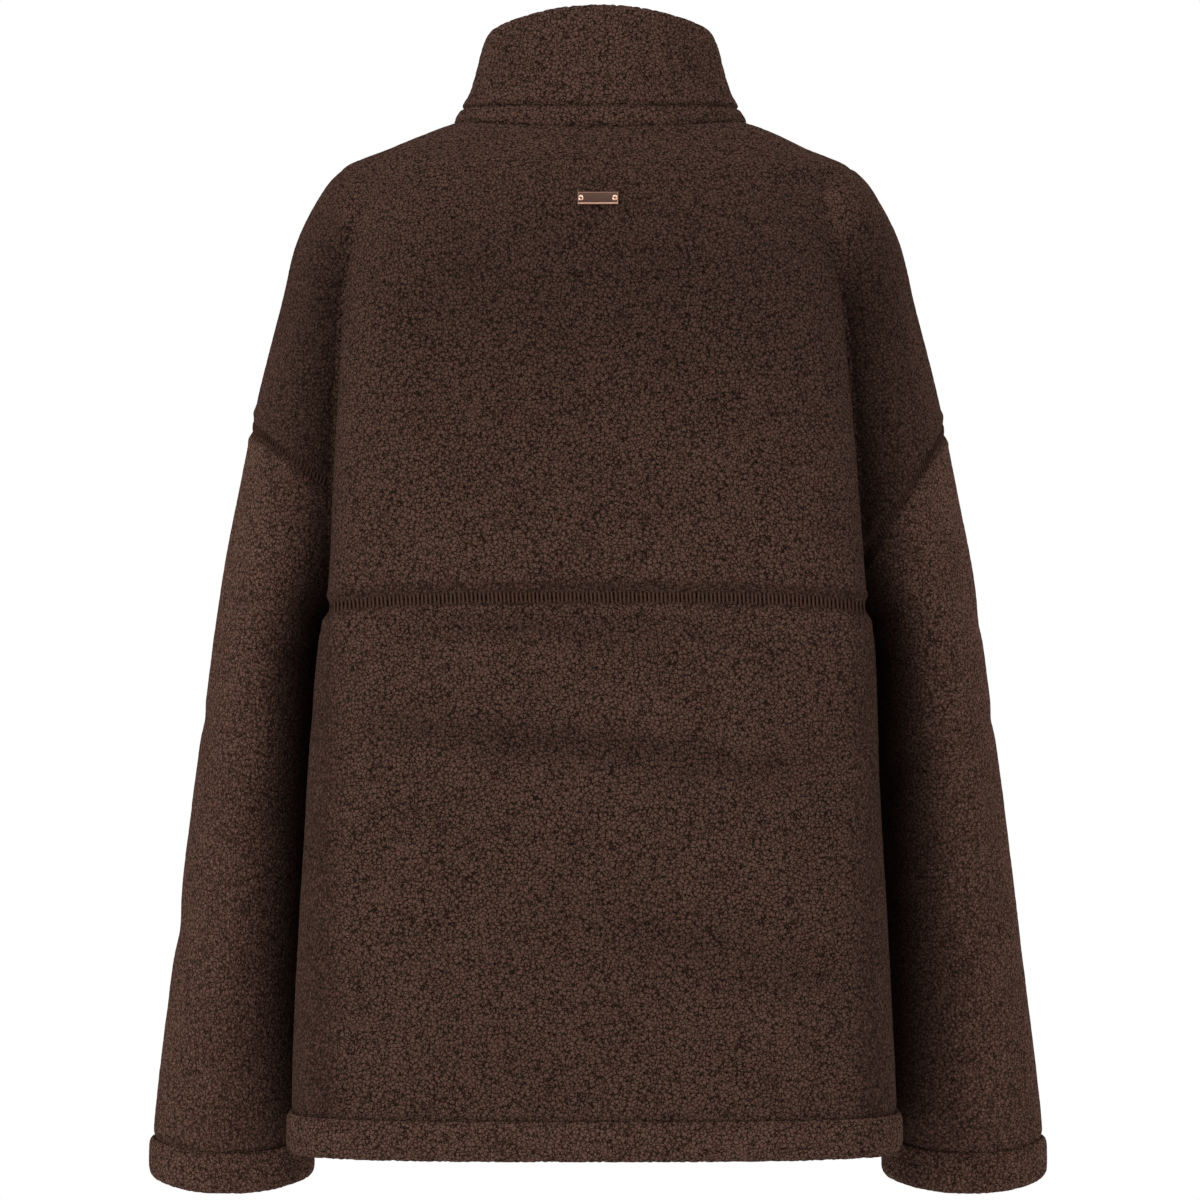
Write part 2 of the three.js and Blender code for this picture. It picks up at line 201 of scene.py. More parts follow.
@dataclass(frozen=True)
class PaintedShade:
    """Painted shade in the creases and on the upper back: how dark, from 0 to 1, and where it runs."""

    beside: float = 0.84
    beside_reach: float = 52.0
    beside_fade: float = 1.2
    beside_top: float = -58.0
    beside_run: float = 70.0
    yoke: float = 0.36
    yoke_z: float = -108.0
    yoke_tall: float = 92.0
    yoke_half: float = 178.0
    fold: float = 0.34
    fold_deep: float = 4.2
    fold_below: float = 2.0
    seam: float = 0.46
    seam_wide: float = 4.6
    armhole: float = 0.85
    armhole_at: float = -2.8
    armhole_wide: float = 2.3


BACK_SEAM = Seam()
BACK_LIPS = (Ridge(7.5, 1.3, 2.6), Ridge(-8.5, 0.9, 3.4))
TORSO_TUCKS = (Ridge(TORSO_END, 1.8, 4), Ridge(NECK_Z, 0.5, 5))
ARM_TUCKS = (Ridge(SLEEVE_END, 1.6, 4),)
ARM_GROOVE = (Ridge(0, 1.6, 7),)
ARM_LIPS = (Ridge(14, 0.9, 4), Ridge(-10, 0.7, 4))
PAINTED_SHADE = PaintedShade()
ARMHOLES = {Side.LEFT: Armhole(226, -206, 0.75), Side.RIGHT: Armhole(226, -209, 1.5)}
TORSO_FOLDS = (
    Fold(20, -338, 95, 9, 0.02, 3.2),
    Fold(25, -409, 130, 11, 0.09, 4.2),
    Fold(-90, -424, 55, 9, -0.06, 3.0),
    Fold(95, -110, 16, 60, 0, 2.4),
    Fold(14, -175, 22, 80, 0, 2.0),
    Fold(-70, -540, 90, 22, 0.25, 2.4),
    Fold(-15, -330, 100, 12, -0.05, 3.4, -1),
    Fold(40, -418, 85, 13, 0.12, 3.6, -1),
    Fold(-60, -505, 80, 20, -0.22, 2.6, -1),
)
SMALL_TORSO_FOLDS = (
    Fold(40, -357, 80, 8, 0.03, -1.2),
    Fold(30, -429, 100, 10, 0.09, -1.4),
    Fold(-20, -470, 60, 12, 0.15, 1.2),
    Fold(110, -455, 45, 10, -0.1, 1.3),
    Fold(-120, -365, 35, 7, 0.25, 1.4),
    Fold(130, -352, 30, 7, -0.2, 1.3),
    Fold(60, -590, 70, 16, 0.08, 1.2),
    Fold(-60, -240, 40, 18, 0.4, 1.0),
    Fold(90, -280, 35, 9, -0.3, 1.2),
    Fold(30, -356, 90, 10, 0.04, 1.4, -1),
    Fold(-90, -380, 45, 9, -0.3, 1.5, -1),
    Fold(0, -560, 80, 15, 0.1, 1.4, -1),
    Fold(-40, -220, 60, 16, 0.3, 1.2, -1),
)
ARM_FOLDS = {
    Side.RIGHT: (
        Fold(60, -306, 45, 11, 0.5, 3.6),
        Fold(120, -420, 40, 13, -0.4, 3.0),
        Fold(-70, -360, 50, 12, 0.4, 3.2),
    ),
    Side.LEFT: (
        Fold(75, -330, 45, 13, -0.35, 3.0),
        Fold(40, -520, 45, 15, 0.4, 2.8),
        Fold(-80, -400, 50, 12, -0.35, 3.2),
    ),
}
SMALL_ARM_FOLDS = (
    Fold(95, -470, 30, 10, 0.5, 1.3),
    Fold(20, -400, 35, 9, -0.4, 1.2),
    Fold(-40, -560, 35, 11, 0.3, 1.3),
    Fold(150, -350, 30, 8, 0.3, 1.4),
    Fold(70, -610, 40, 10, -0.2, 1.1),
)
COLLAR_SIDE, COLLAR_BACK, COLLAR_FRONT, COLLAR_SINK = 60.0, 77.0, 74.0, 0.8
COLLAR_HALF, COLLAR_DEEP, COLLAR_WALL, COLLAR_ROUND = 88.0, 66.0, 70.0, 480.0
COLLAR_LEAN = ((0, 0), (0.25, 4.5), (0.5, 8), (0.8, 12), (1, 17))
COLLAR_SECTION = (
    (0, -7), (0.3, -7.8), (0.62, -8), (0.92, -7.6), (0.985, -5.6), (1, -3.4), (0.975, -0.6), (0.9, 0.6),
    (0.6, 1.2), (0.3, 2.6), (0.165, 5.0), (0.132, 2.8), (0.1, 5.8), (0.03, 7.6), (0, 5.6),
)


class Table:
    """Rows of sizes by height, read smoothly between them."""

    def __init__(self, columns: tuple, rows: tuple) -> None:
        """Keeps the rows in rising order.

        Args:
            columns (tuple): Names, the first being the height.
            rows (tuple): The sizes.
        """
        data = np.array(sorted(rows), dtype=float)
        self.z = data[:, 0]
        self.columns = {name: data[:, k] for k, name in enumerate(columns)}

    def read(self, name: str, z: np.ndarray) -> np.ndarray:
        """Monotone cubic through one column.

        Args:
            name (str): The column.
            z (np.ndarray): Heights.

        Returns:
            np.ndarray: The sizes there.
        """
        xs, ys = self.z, self.columns[name]
        slope = np.diff(ys) / np.diff(xs)
        tangent = np.empty_like(ys)
        tangent[0], tangent[-1] = slope[0], slope[-1]
        a, b = slope[:-1], slope[1:]
        total = np.where(np.abs(a + b) < 1e-12, 1.0, a + b)
        tangent[1:-1] = np.where(a * b <= 0, 0.0, 2 * a * b / total)
        z = np.clip(z, xs[0], xs[-1])
        k = np.clip(np.searchsorted(xs, z, side="right") - 1, 0, len(xs) - 2)
        h = xs[k + 1] - xs[k]
        s = (z - xs[k]) / h
        return (
            ys[k] * (2 * s**3 - 3 * s**2 + 1)
            + tangent[k] * h * (s**3 - 2 * s**2 + s)
            + ys[k + 1] * (3 * s**2 - 2 * s**3)
            + tangent[k + 1] * h * (s**3 - s**2)
        )


def bell(value: np.ndarray) -> np.ndarray:
    """A soft bump that is 1 at nought."""
    return np.exp(-(value**2))


def power(value: np.ndarray, n: np.ndarray) -> np.ndarray:
    """A sine or cosine squared off."""
    return np.sign(value) * np.abs(value) ** (2 / n)


def back_seam(x: np.ndarray) -> np.ndarray:
    """Height of the seam across the back."""
    s = np.minimum(1.2, np.abs(x) / BACK_SEAM.half)
    return BACK_SEAM.middle + (BACK_SEAM.end - BACK_SEAM.middle) * s**4


def armhole(side: Side, x: np.ndarray, y: np.ndarray) -> np.ndarray:
    """Height of the armhole seam over the plan.

    Args:
        side (Side): Left or right.
        x (np.ndarray): Place across.
        y (np.ndarray): Place from front to back.

    Returns:
        np.ndarray: Heights.
    """
    hole = ARMHOLES[side]
    t = np.clip((y + 15) / 60, 0, 1)
    slope = hole.slope + (hole.back_slope - hole.slope) * t * t * (3 - 2 * t)
    return hole.outer_z - (hole.outer_x - side.value * x) * slope


def fold_depth(fold: Fold, s: np.ndarray, t: np.ndarray) -> np.ndarray:
    """Depth of a fold."""
    return fold.deep * bell(t / fold.wide) * bell((s / fold.long) ** 2)


def ridges(rows: tuple, d: np.ndarray) -> np.ndarray:
    """How far ridges stand out at distances above their line."""
    return sum(row.high * bell((d - row.at) / row.wide) for row in rows)


class Form:
    """A tube-like surface read by angle and height."""

    turn = 1.0
    flat_below = -1e9

    def base(self, angle: np.ndarray, z: np.ndarray) -> np.ndarray:
        """Plain surface, without folds."""
        raise NotImplementedError

    def relief(self, p: np.ndarray, angle: np.ndarray, z: np.ndarray, fine: bool) -> np.ndarray:
        """How far folds and seams move the surface out."""
        raise NotImplementedError

    def normal(self, angle: np.ndarray, z: np.ndarray) -> np.ndarray:
        """Outward direction of the plain surface.

        Args:
            angle (np.ndarray): Radians.
            z (np.ndarray): Ring heights.

        Returns:
            np.ndarray: Unit vectors.
        """
        across = self.base(angle + 0.02, z) - self.base(angle - 0.02, z)
        down = self.base(angle, z - 1.2) - self.base(angle, z + 1.2)
        n = np.cross(down, across) * self.turn
        n[..., 2] = np.where(z <= self.flat_below, 0.0, n[..., 2])
        return n / np.maximum(np.linalg.norm(n, axis=-1, keepdims=True), 1e-9)

    def point(self, angle: np.ndarray, z: np.ndarray, out: float = 0.0, fine: bool = True) -> np.ndarray:
        """The surface with its folds, moved out.

        Args:
            angle (np.ndarray): Radians.
            z (np.ndarray): Ring heights.
            out (float): Millimetres outward.
            fine (bool): With seams and small folds too.

        Returns:
            np.ndarray: Points.
        """
        angle, z = np.broadcast_arrays(np.asarray(angle, float), np.asarray(z, float))
        p = self.base(angle, z)
        move = out + self.relief(p, angle, z, fine)
        return p + self.normal(angle, z) * np.asarray(move)[..., None]

    def rings(self, heights: np.ndarray, angles: np.ndarray, out: float, fine: bool) -> np.ndarray:
        """A grid of points, one ring a height."""
        return self.point(angles[None, :], heights[:, None], out, fine)

    def spread(self, z: float, back: float, front: float) -> np.ndarray:
        """Angles that space points evenly round one ring.

        Args:
            z (float): The ring's height.
            back (float): Spacing at the back.
            front (float): Spacing at the front.

        Returns:
            np.ndarray: Radians.
        """
        a = np.linspace(0, 2 * np.pi, 4001)
        p = self.base(a, np.full_like(a, z))
        step = np.linalg.norm(np.diff(p, axis=0), axis=1)
        middle = (p[1:, 1] + p[:-1, 1]) / 2
        step = step / np.where(middle > SIDE_SEAM_Y, back, front)
        run = np.concatenate([[0], np.cumsum(step)])
        n = int(np.ceil(run[-1]))
        return np.interp(np.arange(n) * run[-1] / n, run, a)


class Torso(Form):
    """Body of the pullover."""

    flat_below = TORSO_END

    def __init__(self) -> None:
        """Reads the sizes."""
        self.table = Table(TORSO_COLUMNS, TORSO_TABLE)

    def base(self, angle: np.ndarray, z: np.ndarray) -> np.ndarray:
        """Plain surface, without folds.

        Args:
            angle (np.ndarray): Radians, from the side toward the back.
            z (np.ndarray): Ring heights.

        Returns:
            np.ndarray: Points.
        """
        c, s = np.cos(angle), np.sin(angle)
        read, behind = self.table.read, s > 0
        wide = read("wide", z)
        n = np.where(behind, read("nb", z), read("nf", z))
        reach = np.where(behind, read("back", z) - wide, wide - read("front", z))
        drop = np.where(behind, read("db", z), read("df", z)) * s * s
        x = read("shift", z) + read("half", z) * power(c, n)
        return np.stack([x, wide + reach * power(s, n), z - drop], axis=-1)

    def relief(self, p: np.ndarray, angle: np.ndarray, z: np.ndarray, fine: bool) -> np.ndarray:
        """How far folds and seams move the surface out.

        Args:
            p (np.ndarray): Points on the plain surface.
            angle (np.ndarray): Their angles.
            z (np.ndarray): Their ring heights.
            fine (bool): With seams and small folds too.

        Returns:
            np.ndarray: Moves, millimetres.
        """
        x, y, height = p[..., 0], p[..., 1], p[..., 2]
        middle, blend = 20, 40
        face = np.where(y > middle, 1, -1)
        move = np.zeros_like(x)
        fade = np.minimum(1, np.abs(y - middle) / blend)
        for fold in TORSO_FOLDS + (SMALL_TORSO_FOLDS if fine else ()):
            s = x - fold.at
            depth = fold_depth(fold, s, height - fold.z - fold.slope * s)
            move -= np.where(face == fold.face, depth * fade, 0)
        if fine:
            d = height - back_seam(x)
            behind = np.clip((y - SIDE_SEAM_Y) / 6, 0, 1)
            move -= behind * BACK_SEAM.groove * bell(d / BACK_SEAM.width) ** 0.7
            move += behind * ridges(BACK_LIPS, d)
            move -= ridges(TORSO_TUCKS, z)
        return move

    def place_at(self, x: np.ndarray, height: np.ndarray) -> tuple:
        """Angle and ring height of a place on the back.

        Args:
            x (np.ndarray): Place across.
            height (np.ndarray): Real height.

        Returns:
            tuple: Angles and ring heights.
        """
        x, height = np.broadcast_arrays(np.asarray(x, float), np.asarray(height, float))
        z = height.copy()
        angle = np.full_like(z, np.pi / 2)
        for _ in range(8):
            low, high = np.full_like(z, 0.02), np.full_like(z, np.pi - 0.02)
            for _ in range(34):
                angle = (low + high) / 2
                right = self.base(angle, z)[..., 0] > x
                low, high = np.where(right, angle, low), np.where(right, high, angle)
            z = z + height - self.base(angle, z)[..., 2]
        return angle, z

    def holds(self, p: np.ndarray, room: float) -> np.ndarray:
        """Whether points lie inside the body, with some room.

        Args:
            p (np.ndarray): Points.
            room (float): Millimetres outside that still count.

        Returns:
            np.ndarray: True inside.
        """
        read, z = self.table.read, p[..., 2] + 4
        wide = read("wide", z)
        behind = p[..., 1] > wide
        n = np.where(behind, read("nb", z), read("nf", z))
        reach = np.where(behind, read("back", z) - wide, wide - read("front", z)) + room
        a = np.abs((p[..., 0] - read("shift", z)) / (read("half", z) + room))
        return a**n + np.abs((p[..., 1] - wide) / reach) ** n < 1


class Arm(Form):
    """Sleeve with the dropped shoulder above it."""

    flat_below = SLEEVE_END

    def __init__(self, side: Side) -> None:
        """Reads the sizes.

        Args:
            side (Side): Left or right.
        """
        self.side = side
        self.turn = float(side.value)
        self.table = Table(ARM_COLUMNS, ARM_TABLE)

    def base(self, angle: np.ndarray, z: np.ndarray) -> np.ndarray:
        """Plain surface, without folds.

        Args:
            angle (np.ndarray): Radians, from the side toward the back.
            z (np.ndarray): Ring heights.

        Returns:
            np.ndarray: Points.
        """
        c, s = np.cos(angle), np.sin(angle)
        read = self.table.read
        inner, outer, n = read("inner", z), read("outer", z), read("n", z)
        x = (inner + outer) / 2 + (outer - inner) / 2 * power(c, n)
        y = read("mid", z) + read("depth", z) * power(s, n)
        return np.stack([self.side.value * x, y, z - read("drop", z) * np.maximum(0, s) ** 2], axis=-1)

    def relief(self, p: np.ndarray, angle: np.ndarray, z: np.ndarray, fine: bool) -> np.ndarray:
        """How far folds and seams move the surface out.

        Args:
            p (np.ndarray): Points on the plain surface.
            angle (np.ndarray): Their angles.
            z (np.ndarray): Their ring heights.
            fine (bool): With seams and small folds too.

        Returns:
            np.ndarray: Moves, millimetres.
        """
        move = np.zeros_like(z)
        for fold in ARM_FOLDS[self.side] + (SMALL_ARM_FOLDS if fine else ()):
            turn = ((np.degrees(angle) - fold.at + 540) % 360 - 180) * 0.9
            move -= fold_depth(fold, turn, p[..., 2] - fold.z - fold.slope * turn)
        if fine:
            d = p[..., 2] - armhole(self.side, p[..., 0], p[..., 1])
            move -= ridges(ARM_TUCKS, z)
            move -= ridges(ARM_GROOVE, d)
            move += ridges(ARM_LIPS, d)
        return move

    def seam_height(self, angle: np.ndarray, shift: float = 0.0) -> np.ndarray:
        """Ring height where the armhole seam crosses each angle.

        Args:
            angle (np.ndarray): Radians.
            shift (float): Millimetres above the seam.

        Returns:
            np.ndarray: Ring heights.
        """
        low, high = np.full_like(angle, -360.0), np.full_like(angle, -120.0)
        for _ in range(40):
            z = (low + high) / 2
            p = self.base(angle, z)
            above = p[..., 2] - armhole(self.side, p[..., 0], p[..., 1]) > shift
            low, high = np.where(above, low, z), np.where(above, z, high)
        return (low + high) / 2


def painted_shade(p: np.ndarray) -> np.ndarray:
    """How much shade is painted at points deep in the folds between body and sleeves, under the shoulders,
    in the back folds and along the seams.

    Args:
        p (np.ndarray): Points.

    Returns:
        np.ndarray: Painted shade, 0 in the open, 1 in the deepest fold.
    """
    torso, c = Torso(), PAINTED_SHADE
    z = p[:, 2]
    beside = np.abs(p[:, 0]) - torso.table.read("half", z)
    # Painted shade on the sleeves beside the body, below the shoulders
    below = np.clip((c.beside_top - z) / c.beside_run, 0, 1)
    near = c.beside * np.clip(1 - beside / c.beside_reach, 0, 1) ** c.beside_fade
    on_body = torso.holds(p, 3.0)
    deep = np.where(on_body, 0.0, near * below)
    # Painted shade across the upper back, under the shoulders
    yoke = c.yoke * bell((z - c.yoke_z) / c.yoke_tall)
    deep = np.maximum(deep, yoke * np.clip(1 - (np.abs(p[:, 0]) / c.yoke_half) ** 4, 0, 1))
    behind = p[:, 1] > SIDE_SEAM_Y
    # Painted shadow along the soft folds of the back and front
    for fold in TORSO_FOLDS:
        s = p[:, 0] - fold.at
        depth = fold_depth(fold, s, z - c.fold_below - fold.z - fold.slope * s) / c.fold_deep
        deep = np.maximum(deep, np.where(on_body & (behind == (fold.face > 0)), c.fold * depth, 0))
    # Painted shade in the groove of the back seam
    seam = bell((z - back_seam(p[:, 0])) / c.seam_wide)
    deep = np.maximum(deep, np.where(on_body & behind, c.seam * seam, 0))
    # Painted shade along the armhole seams, on the sleeve side
    for side in Side:
        d = z - armhole(side, p[:, 0], p[:, 1])
        beyond = ~on_body & (p[:, 0] * side.value > 0)
        line = c.armhole * bell((d - c.armhole_at) / c.armhole_wide)
        deep = np.maximum(deep, np.where(beyond, line, 0))
    return deep


@dataclass(frozen=True)
class Bound:
    """Lower or upper side of a cutting block: level, or along a seam."""

    move: float
    run: Run = Run.LEVEL

    def at(self, x: np.ndarray, y: np.ndarray) -> np.ndarray:
        """Heights over the plan.

        Args:
            x (np.ndarray): Places across.
            y (np.ndarray): Places from front to back.

        Returns:
            np.ndarray: Heights.
        """
        if self.run is Run.LEVEL:
            return np.full(x.shape, float(self.move))
        side = Side.LEFT if self.run is Run.ARMHOLE_LEFT else Side.RIGHT
        along = back_seam(x) if self.run is Run.BACK_SEAM else armhole(side, x, y)
        return np.broadcast_to(along + self.move, x.shape)


class Maker:
    """Makes Blender meshes from arrays of points in millimetres."""

    @staticmethod
    def mesh(name: str, points: np.ndarray, faces: list, skin: Skin = Skin.OUTSIDE) -> bpy.types.Object:
        """A mesh object from points and face arrays.

        Args:
            name (str): Object name.
            points (np.ndarray): Points.
            faces (list): Arrays of faces, each with one number of corners.
            skin (Skin): What its faces are.

        Returns:
            bpy.types.Object: The linked object.
        """
        mesh = bpy.data.meshes.new(name)
        sizes = np.concatenate([np.full(len(f), f.shape[1]) for f in faces])
        loops = np.concatenate([f.ravel() for f in faces]).astype(np.int32)
        mesh.vertices.add(len(points))
        mesh.vertices.foreach_set("co", (points * MM).astype(np.float32).ravel())
        mesh.loops.add(len(loops))
        mesh.loops.foreach_set("vertex_index", loops)
        mesh.polygons.add(len(sizes))
        starts = np.concatenate([[0], np.cumsum(sizes)[:-1]]).astype(np.int32)
        mesh.polygons.foreach_set("loop_start", starts)
        mesh.update(calc_edges=True)
        mesh.validate()
        kind = mesh.attributes.new("skin", "INT", "FACE")
        kind.data.foreach_set("value", np.full(len(mesh.polygons), skin.value, np.int32))
        obj = bpy.data.objects.new(name, mesh)
        bpy.context.scene.collection.objects.link(obj)
        return obj

    @staticmethod
    def volume(points: np.ndarray, faces: list) -> float:
        """Signed volume of a closed body.

        Args:
            points (np.ndarray): Points.
            faces (list): Arrays of faces.

        Returns:
            float: Above nought if the faces look out.
        """
        total = 0.0
        for f in faces:
            a = points[f[:, 0]]
            for k in range(1, f.shape[1] - 1):
                total += np.einsum("ij,ij->", a, np.cross(points[f[:, k]], points[f[:, k + 1]]))
        return float(total)

    @classmethod
    def closed(
        cls, name: str, points: np.ndarray, faces: list, skin: Skin = Skin.OUTSIDE
    ) -> bpy.types.Object:
        """As mesh, with its faces turned to look out.

        Args:
            name (str): Object name.
            points (np.ndarray): Points.
            faces (list): Arrays of faces.
            skin (Skin): What its faces are.

        Returns:
            bpy.types.Object: The linked object.
        """
        if cls.volume(points, faces) < 0:
            faces = [f[:, ::-1] for f in faces]
        return cls.mesh(name, points, faces, skin)

    @staticmethod
    def grid(rows: int, columns: int, wrap_rows: bool, wrap_columns: bool) -> np.ndarray:
        """Quads over a grid of points.

        Args:
            rows (int): Rows of points.
            columns (int): Points in a row.
            wrap_rows (bool): Join the last row to the first.
            wrap_columns (bool): Join the ends of each row.

        Returns:
            np.ndarray: Faces.
        """
        j, i = np.meshgrid(
            np.arange(rows if wrap_rows else rows - 1), np.arange(columns if wrap_columns else columns - 1),
            indexing="ij",
        )
        j, i = j.ravel(), i.ravel()
        up, on = (j + 1) % rows, (i + 1) % columns
        return np.stack([j * columns + i, up * columns + i, up * columns + on, j * columns + on], axis=1)

    @classmethod
    def loft(cls, name: str, rings: np.ndarray, skin: Skin = Skin.OUTSIDE) -> bpy.types.Object:
        """Rings joined into a closed body, capped at both ends.

        Args:
            name (str): Object name.
            rings (np.ndarray): Rings of points.
            skin (Skin): What its faces are.

        Returns:
            bpy.types.Object: The body.
        """
        rows, n = rings.shape[:2]
        points = np.concatenate([rings.reshape(-1, 3), rings[:1].mean(axis=1), rings[-1:].mean(axis=1)])
        i = np.arange(n)
        on = (i + 1) % n
        last = (rows - 1) * n
        caps = np.concatenate([
            np.stack([np.full(n, rows * n), i, on], axis=1),
            np.stack([np.full(n, rows * n + 1), last + on, last + i], axis=1),
        ])
        obj = cls.closed(name, points, [cls.grid(rows, n, False, True), caps], skin)
        values = np.full(len(obj.data.polygons), skin.value, np.int32)
        if skin is Skin.OUTSIDE:
            values[-len(caps):] = Skin.CUT.value
        obj.data.attributes["skin"].data.foreach_set("value", values)
        return obj

    @classmethod
    def block(
        cls, name: str, x: tuple, y: tuple, low: Bound, high: Bound, steps: int = 1
    ) -> bpy.types.Object:
        """A block between two heights that may vary over the plan.

        Args:
            name (str): Object name.
            x (tuple): Extent across.
            y (tuple): Extent from front to back.
            low (Bound): Lower height over the plan.
            high (Bound): Upper height over the plan.
            steps (int): Steps each way.

        Returns:
            bpy.types.Object: The block.
        """
        xs, ys = np.linspace(*x, steps + 1), np.linspace(*y, steps + 1)
        gx, gy = np.meshgrid(xs, ys)
        layers = [np.stack([gx, gy, bound.at(gx, gy)], axis=-1).reshape(-1, 3) for bound in (low, high)]
        n, w = steps, steps + 1
        flat = cls.grid(w, w, False, False)
        count = w * w
        k = np.arange(n)
        edges = np.concatenate([
            np.stack([k, k + 1], 1), np.stack([n * w + k + 1, n * w + k], 1),
            np.stack([(k + 1) * w, k * w], 1), np.stack([k * w + n, (k + 1) * w + n], 1),
        ])
        walls = np.stack([edges[:, 0], edges[:, 1], count + edges[:, 1], count + edges[:, 0]], axis=1)
        quads = np.concatenate([flat, (count + flat)[:, ::-1], walls])
        triangles = np.concatenate([quads[:, [0, 1, 2]], quads[:, [0, 2, 3]]])
        return cls.closed(name, np.concatenate(layers), [triangles], Skin.CUT)

    @staticmethod
    def join(target: bpy.types.Object, other: bpy.types.Object, change: Change) -> bpy.types.Object:
        """Cuts or joins one closed body with another.

        Args:
            target (bpy.types.Object): The body that changes.
            other (bpy.types.Object): The body that it is joined with.
            change (Change): How.

        Returns:
            bpy.types.Object: The changed body.
        """
        step = target.modifiers.new("join", "BOOLEAN")
        step.operation = change.value
        step.solver = "MANIFOLD"
        step.object = other
        graph = bpy.context.evaluated_depsgraph_get()
        made = bpy.data.meshes.new_from_object(target.evaluated_get(graph))
        target.modifiers.clear()
        old, target.data = target.data, made
        bpy.data.meshes.remove(old)
        return target

    @staticmethod
    def copy(obj: bpy.types.Object, name: str) -> bpy.types.Object:
        """A separate copy of a body.

        Args:
            obj (bpy.types.Object): The body.
            name (str): Name of the copy.

        Returns:
            bpy.types.Object: The copy.
        """
        made = bpy.data.objects.new(name, obj.data.copy())
        bpy.context.scene.collection.objects.link(made)
        return made

    @staticmethod
    def drop(*objs: bpy.types.Object) -> None:
        """Removes helper bodies."""
        for obj in objs:
            bpy.data.objects.remove(obj)


class Noise:
    """Repeatable noise over points in millimetres."""

    SEED_STEP = 7919
    AXIS_PRIMES = (73856093, 19349663, 83492791)
    CHANNEL_STEP = 374761393
    STIRS = ((15, 2246822519), (13, 3266489917))
    WORD = 0xFFFFFFFF

    @classmethod
    def scatter(cls, cells: np.ndarray, seed: int) -> np.ndarray:
        """Three numbers from 0 to 1 for each whole-number cell.

        Args:
            cells (np.ndarray): Cells.
            seed (int): Which noise.

        Returns:
            np.ndarray: Numbers.
        """
        c = cells.astype(np.int64) + seed * cls.SEED_STEP
        x, y, z = (c[..., i] * prime for i, prime in enumerate(cls.AXIS_PRIMES))
        h = x ^ y ^ z
        out = []
        for k in range(3):
            v = (h + k * cls.CHANNEL_STEP) & cls.WORD
            for shift, factor in cls.STIRS:
                v = ((v ^ (v >> shift)) * factor) & cls.WORD
            out.append((v ^ (v >> 16)) / float(cls.WORD))
        return np.stack(out, axis=-1)

    @classmethod
    def smooth(cls, p: np.ndarray, size: float, seed: int) -> np.ndarray:
        """Three channels of smooth noise from -1 to 1.

        Args:
            p (np.ndarray): Points.
            size (float): Cell size.
            seed (int): Which noise.

        Returns:
            np.ndarray: Values.
        """
        q = p / size
        cell = np.floor(q)
        f = q - cell
        f = f * f * (3 - 2 * f)
        total = np.zeros(p.shape)
        for dx in (0, 1):
            for dy in (0, 1):
                for dz in (0, 1):
                    w = (
                        (f[..., 0] if dx else 1 - f[..., 0])
                        * (f[..., 1] if dy else 1 - f[..., 1])
                        * (f[..., 2] if dz else 1 - f[..., 2])
                    )
                    total += cls.scatter(cell + [dx, dy, dz], seed) * w[..., None]
        return total * 2 - 1


@dataclass(frozen=True)
class Pile:
    """Shape of the fleece pile."""

    curl: float = 2.4
    rise: float = 0.7
    sink: float = 0.35
    bend: float = 1.0
    comb_rise: float = 0.7
    comb_length: float = 11.0
    comb_width: float = 2.0

    def lift(self, p: np.ndarray, combed: np.ndarray) -> tuple:
        """Height of the pile over points, and how open it is there.

        Args:
            p (np.ndarray): Points.
            combed (np.ndarray): 0 for curls, 1 for a combed nap.

        Returns:
            tuple: Moves in millimetres, and pile tone from 0 to 1.
        """
        warp = Noise.smooth(p, 5.2, 1) * self.bend + Noise.smooth(p, 2.4, 2) * 0.5
        rolls, crumbs = Noise.smooth(p + warp, self.curl, 3), Noise.smooth(p - warp, self.curl * 0.7, 4)
        worm = np.clip(np.abs(rolls[:, 0]) / 0.34, 0, 1)
        curl = np.clip(0.66 * worm + 0.3 + 0.42 * crumbs[:, 0] + 0.14 * rolls[:, 1], 0, 1)
        streak = p / [self.comb_width, self.comb_width, self.comb_length]
        nap = 0.5 + 0.5 * Noise.smooth(streak + warp * 0.25, 1.0, 5)[:, 0]
        tuft = 0.5 + 0.5 * Noise.smooth(p * [1, 1, 0.55], 7.0, 6)[:, 1]
        lift_curl = self.rise * curl - self.sink
        lift_nap = self.comb_rise * (0.6 * nap + 0.6 * tuft) - 0.35
        open_curl, open_nap = curl, 0.32 + 0.46 * nap
        return lift_curl + (lift_nap - lift_curl) * combed, open_curl + (open_nap - open_curl) * combed


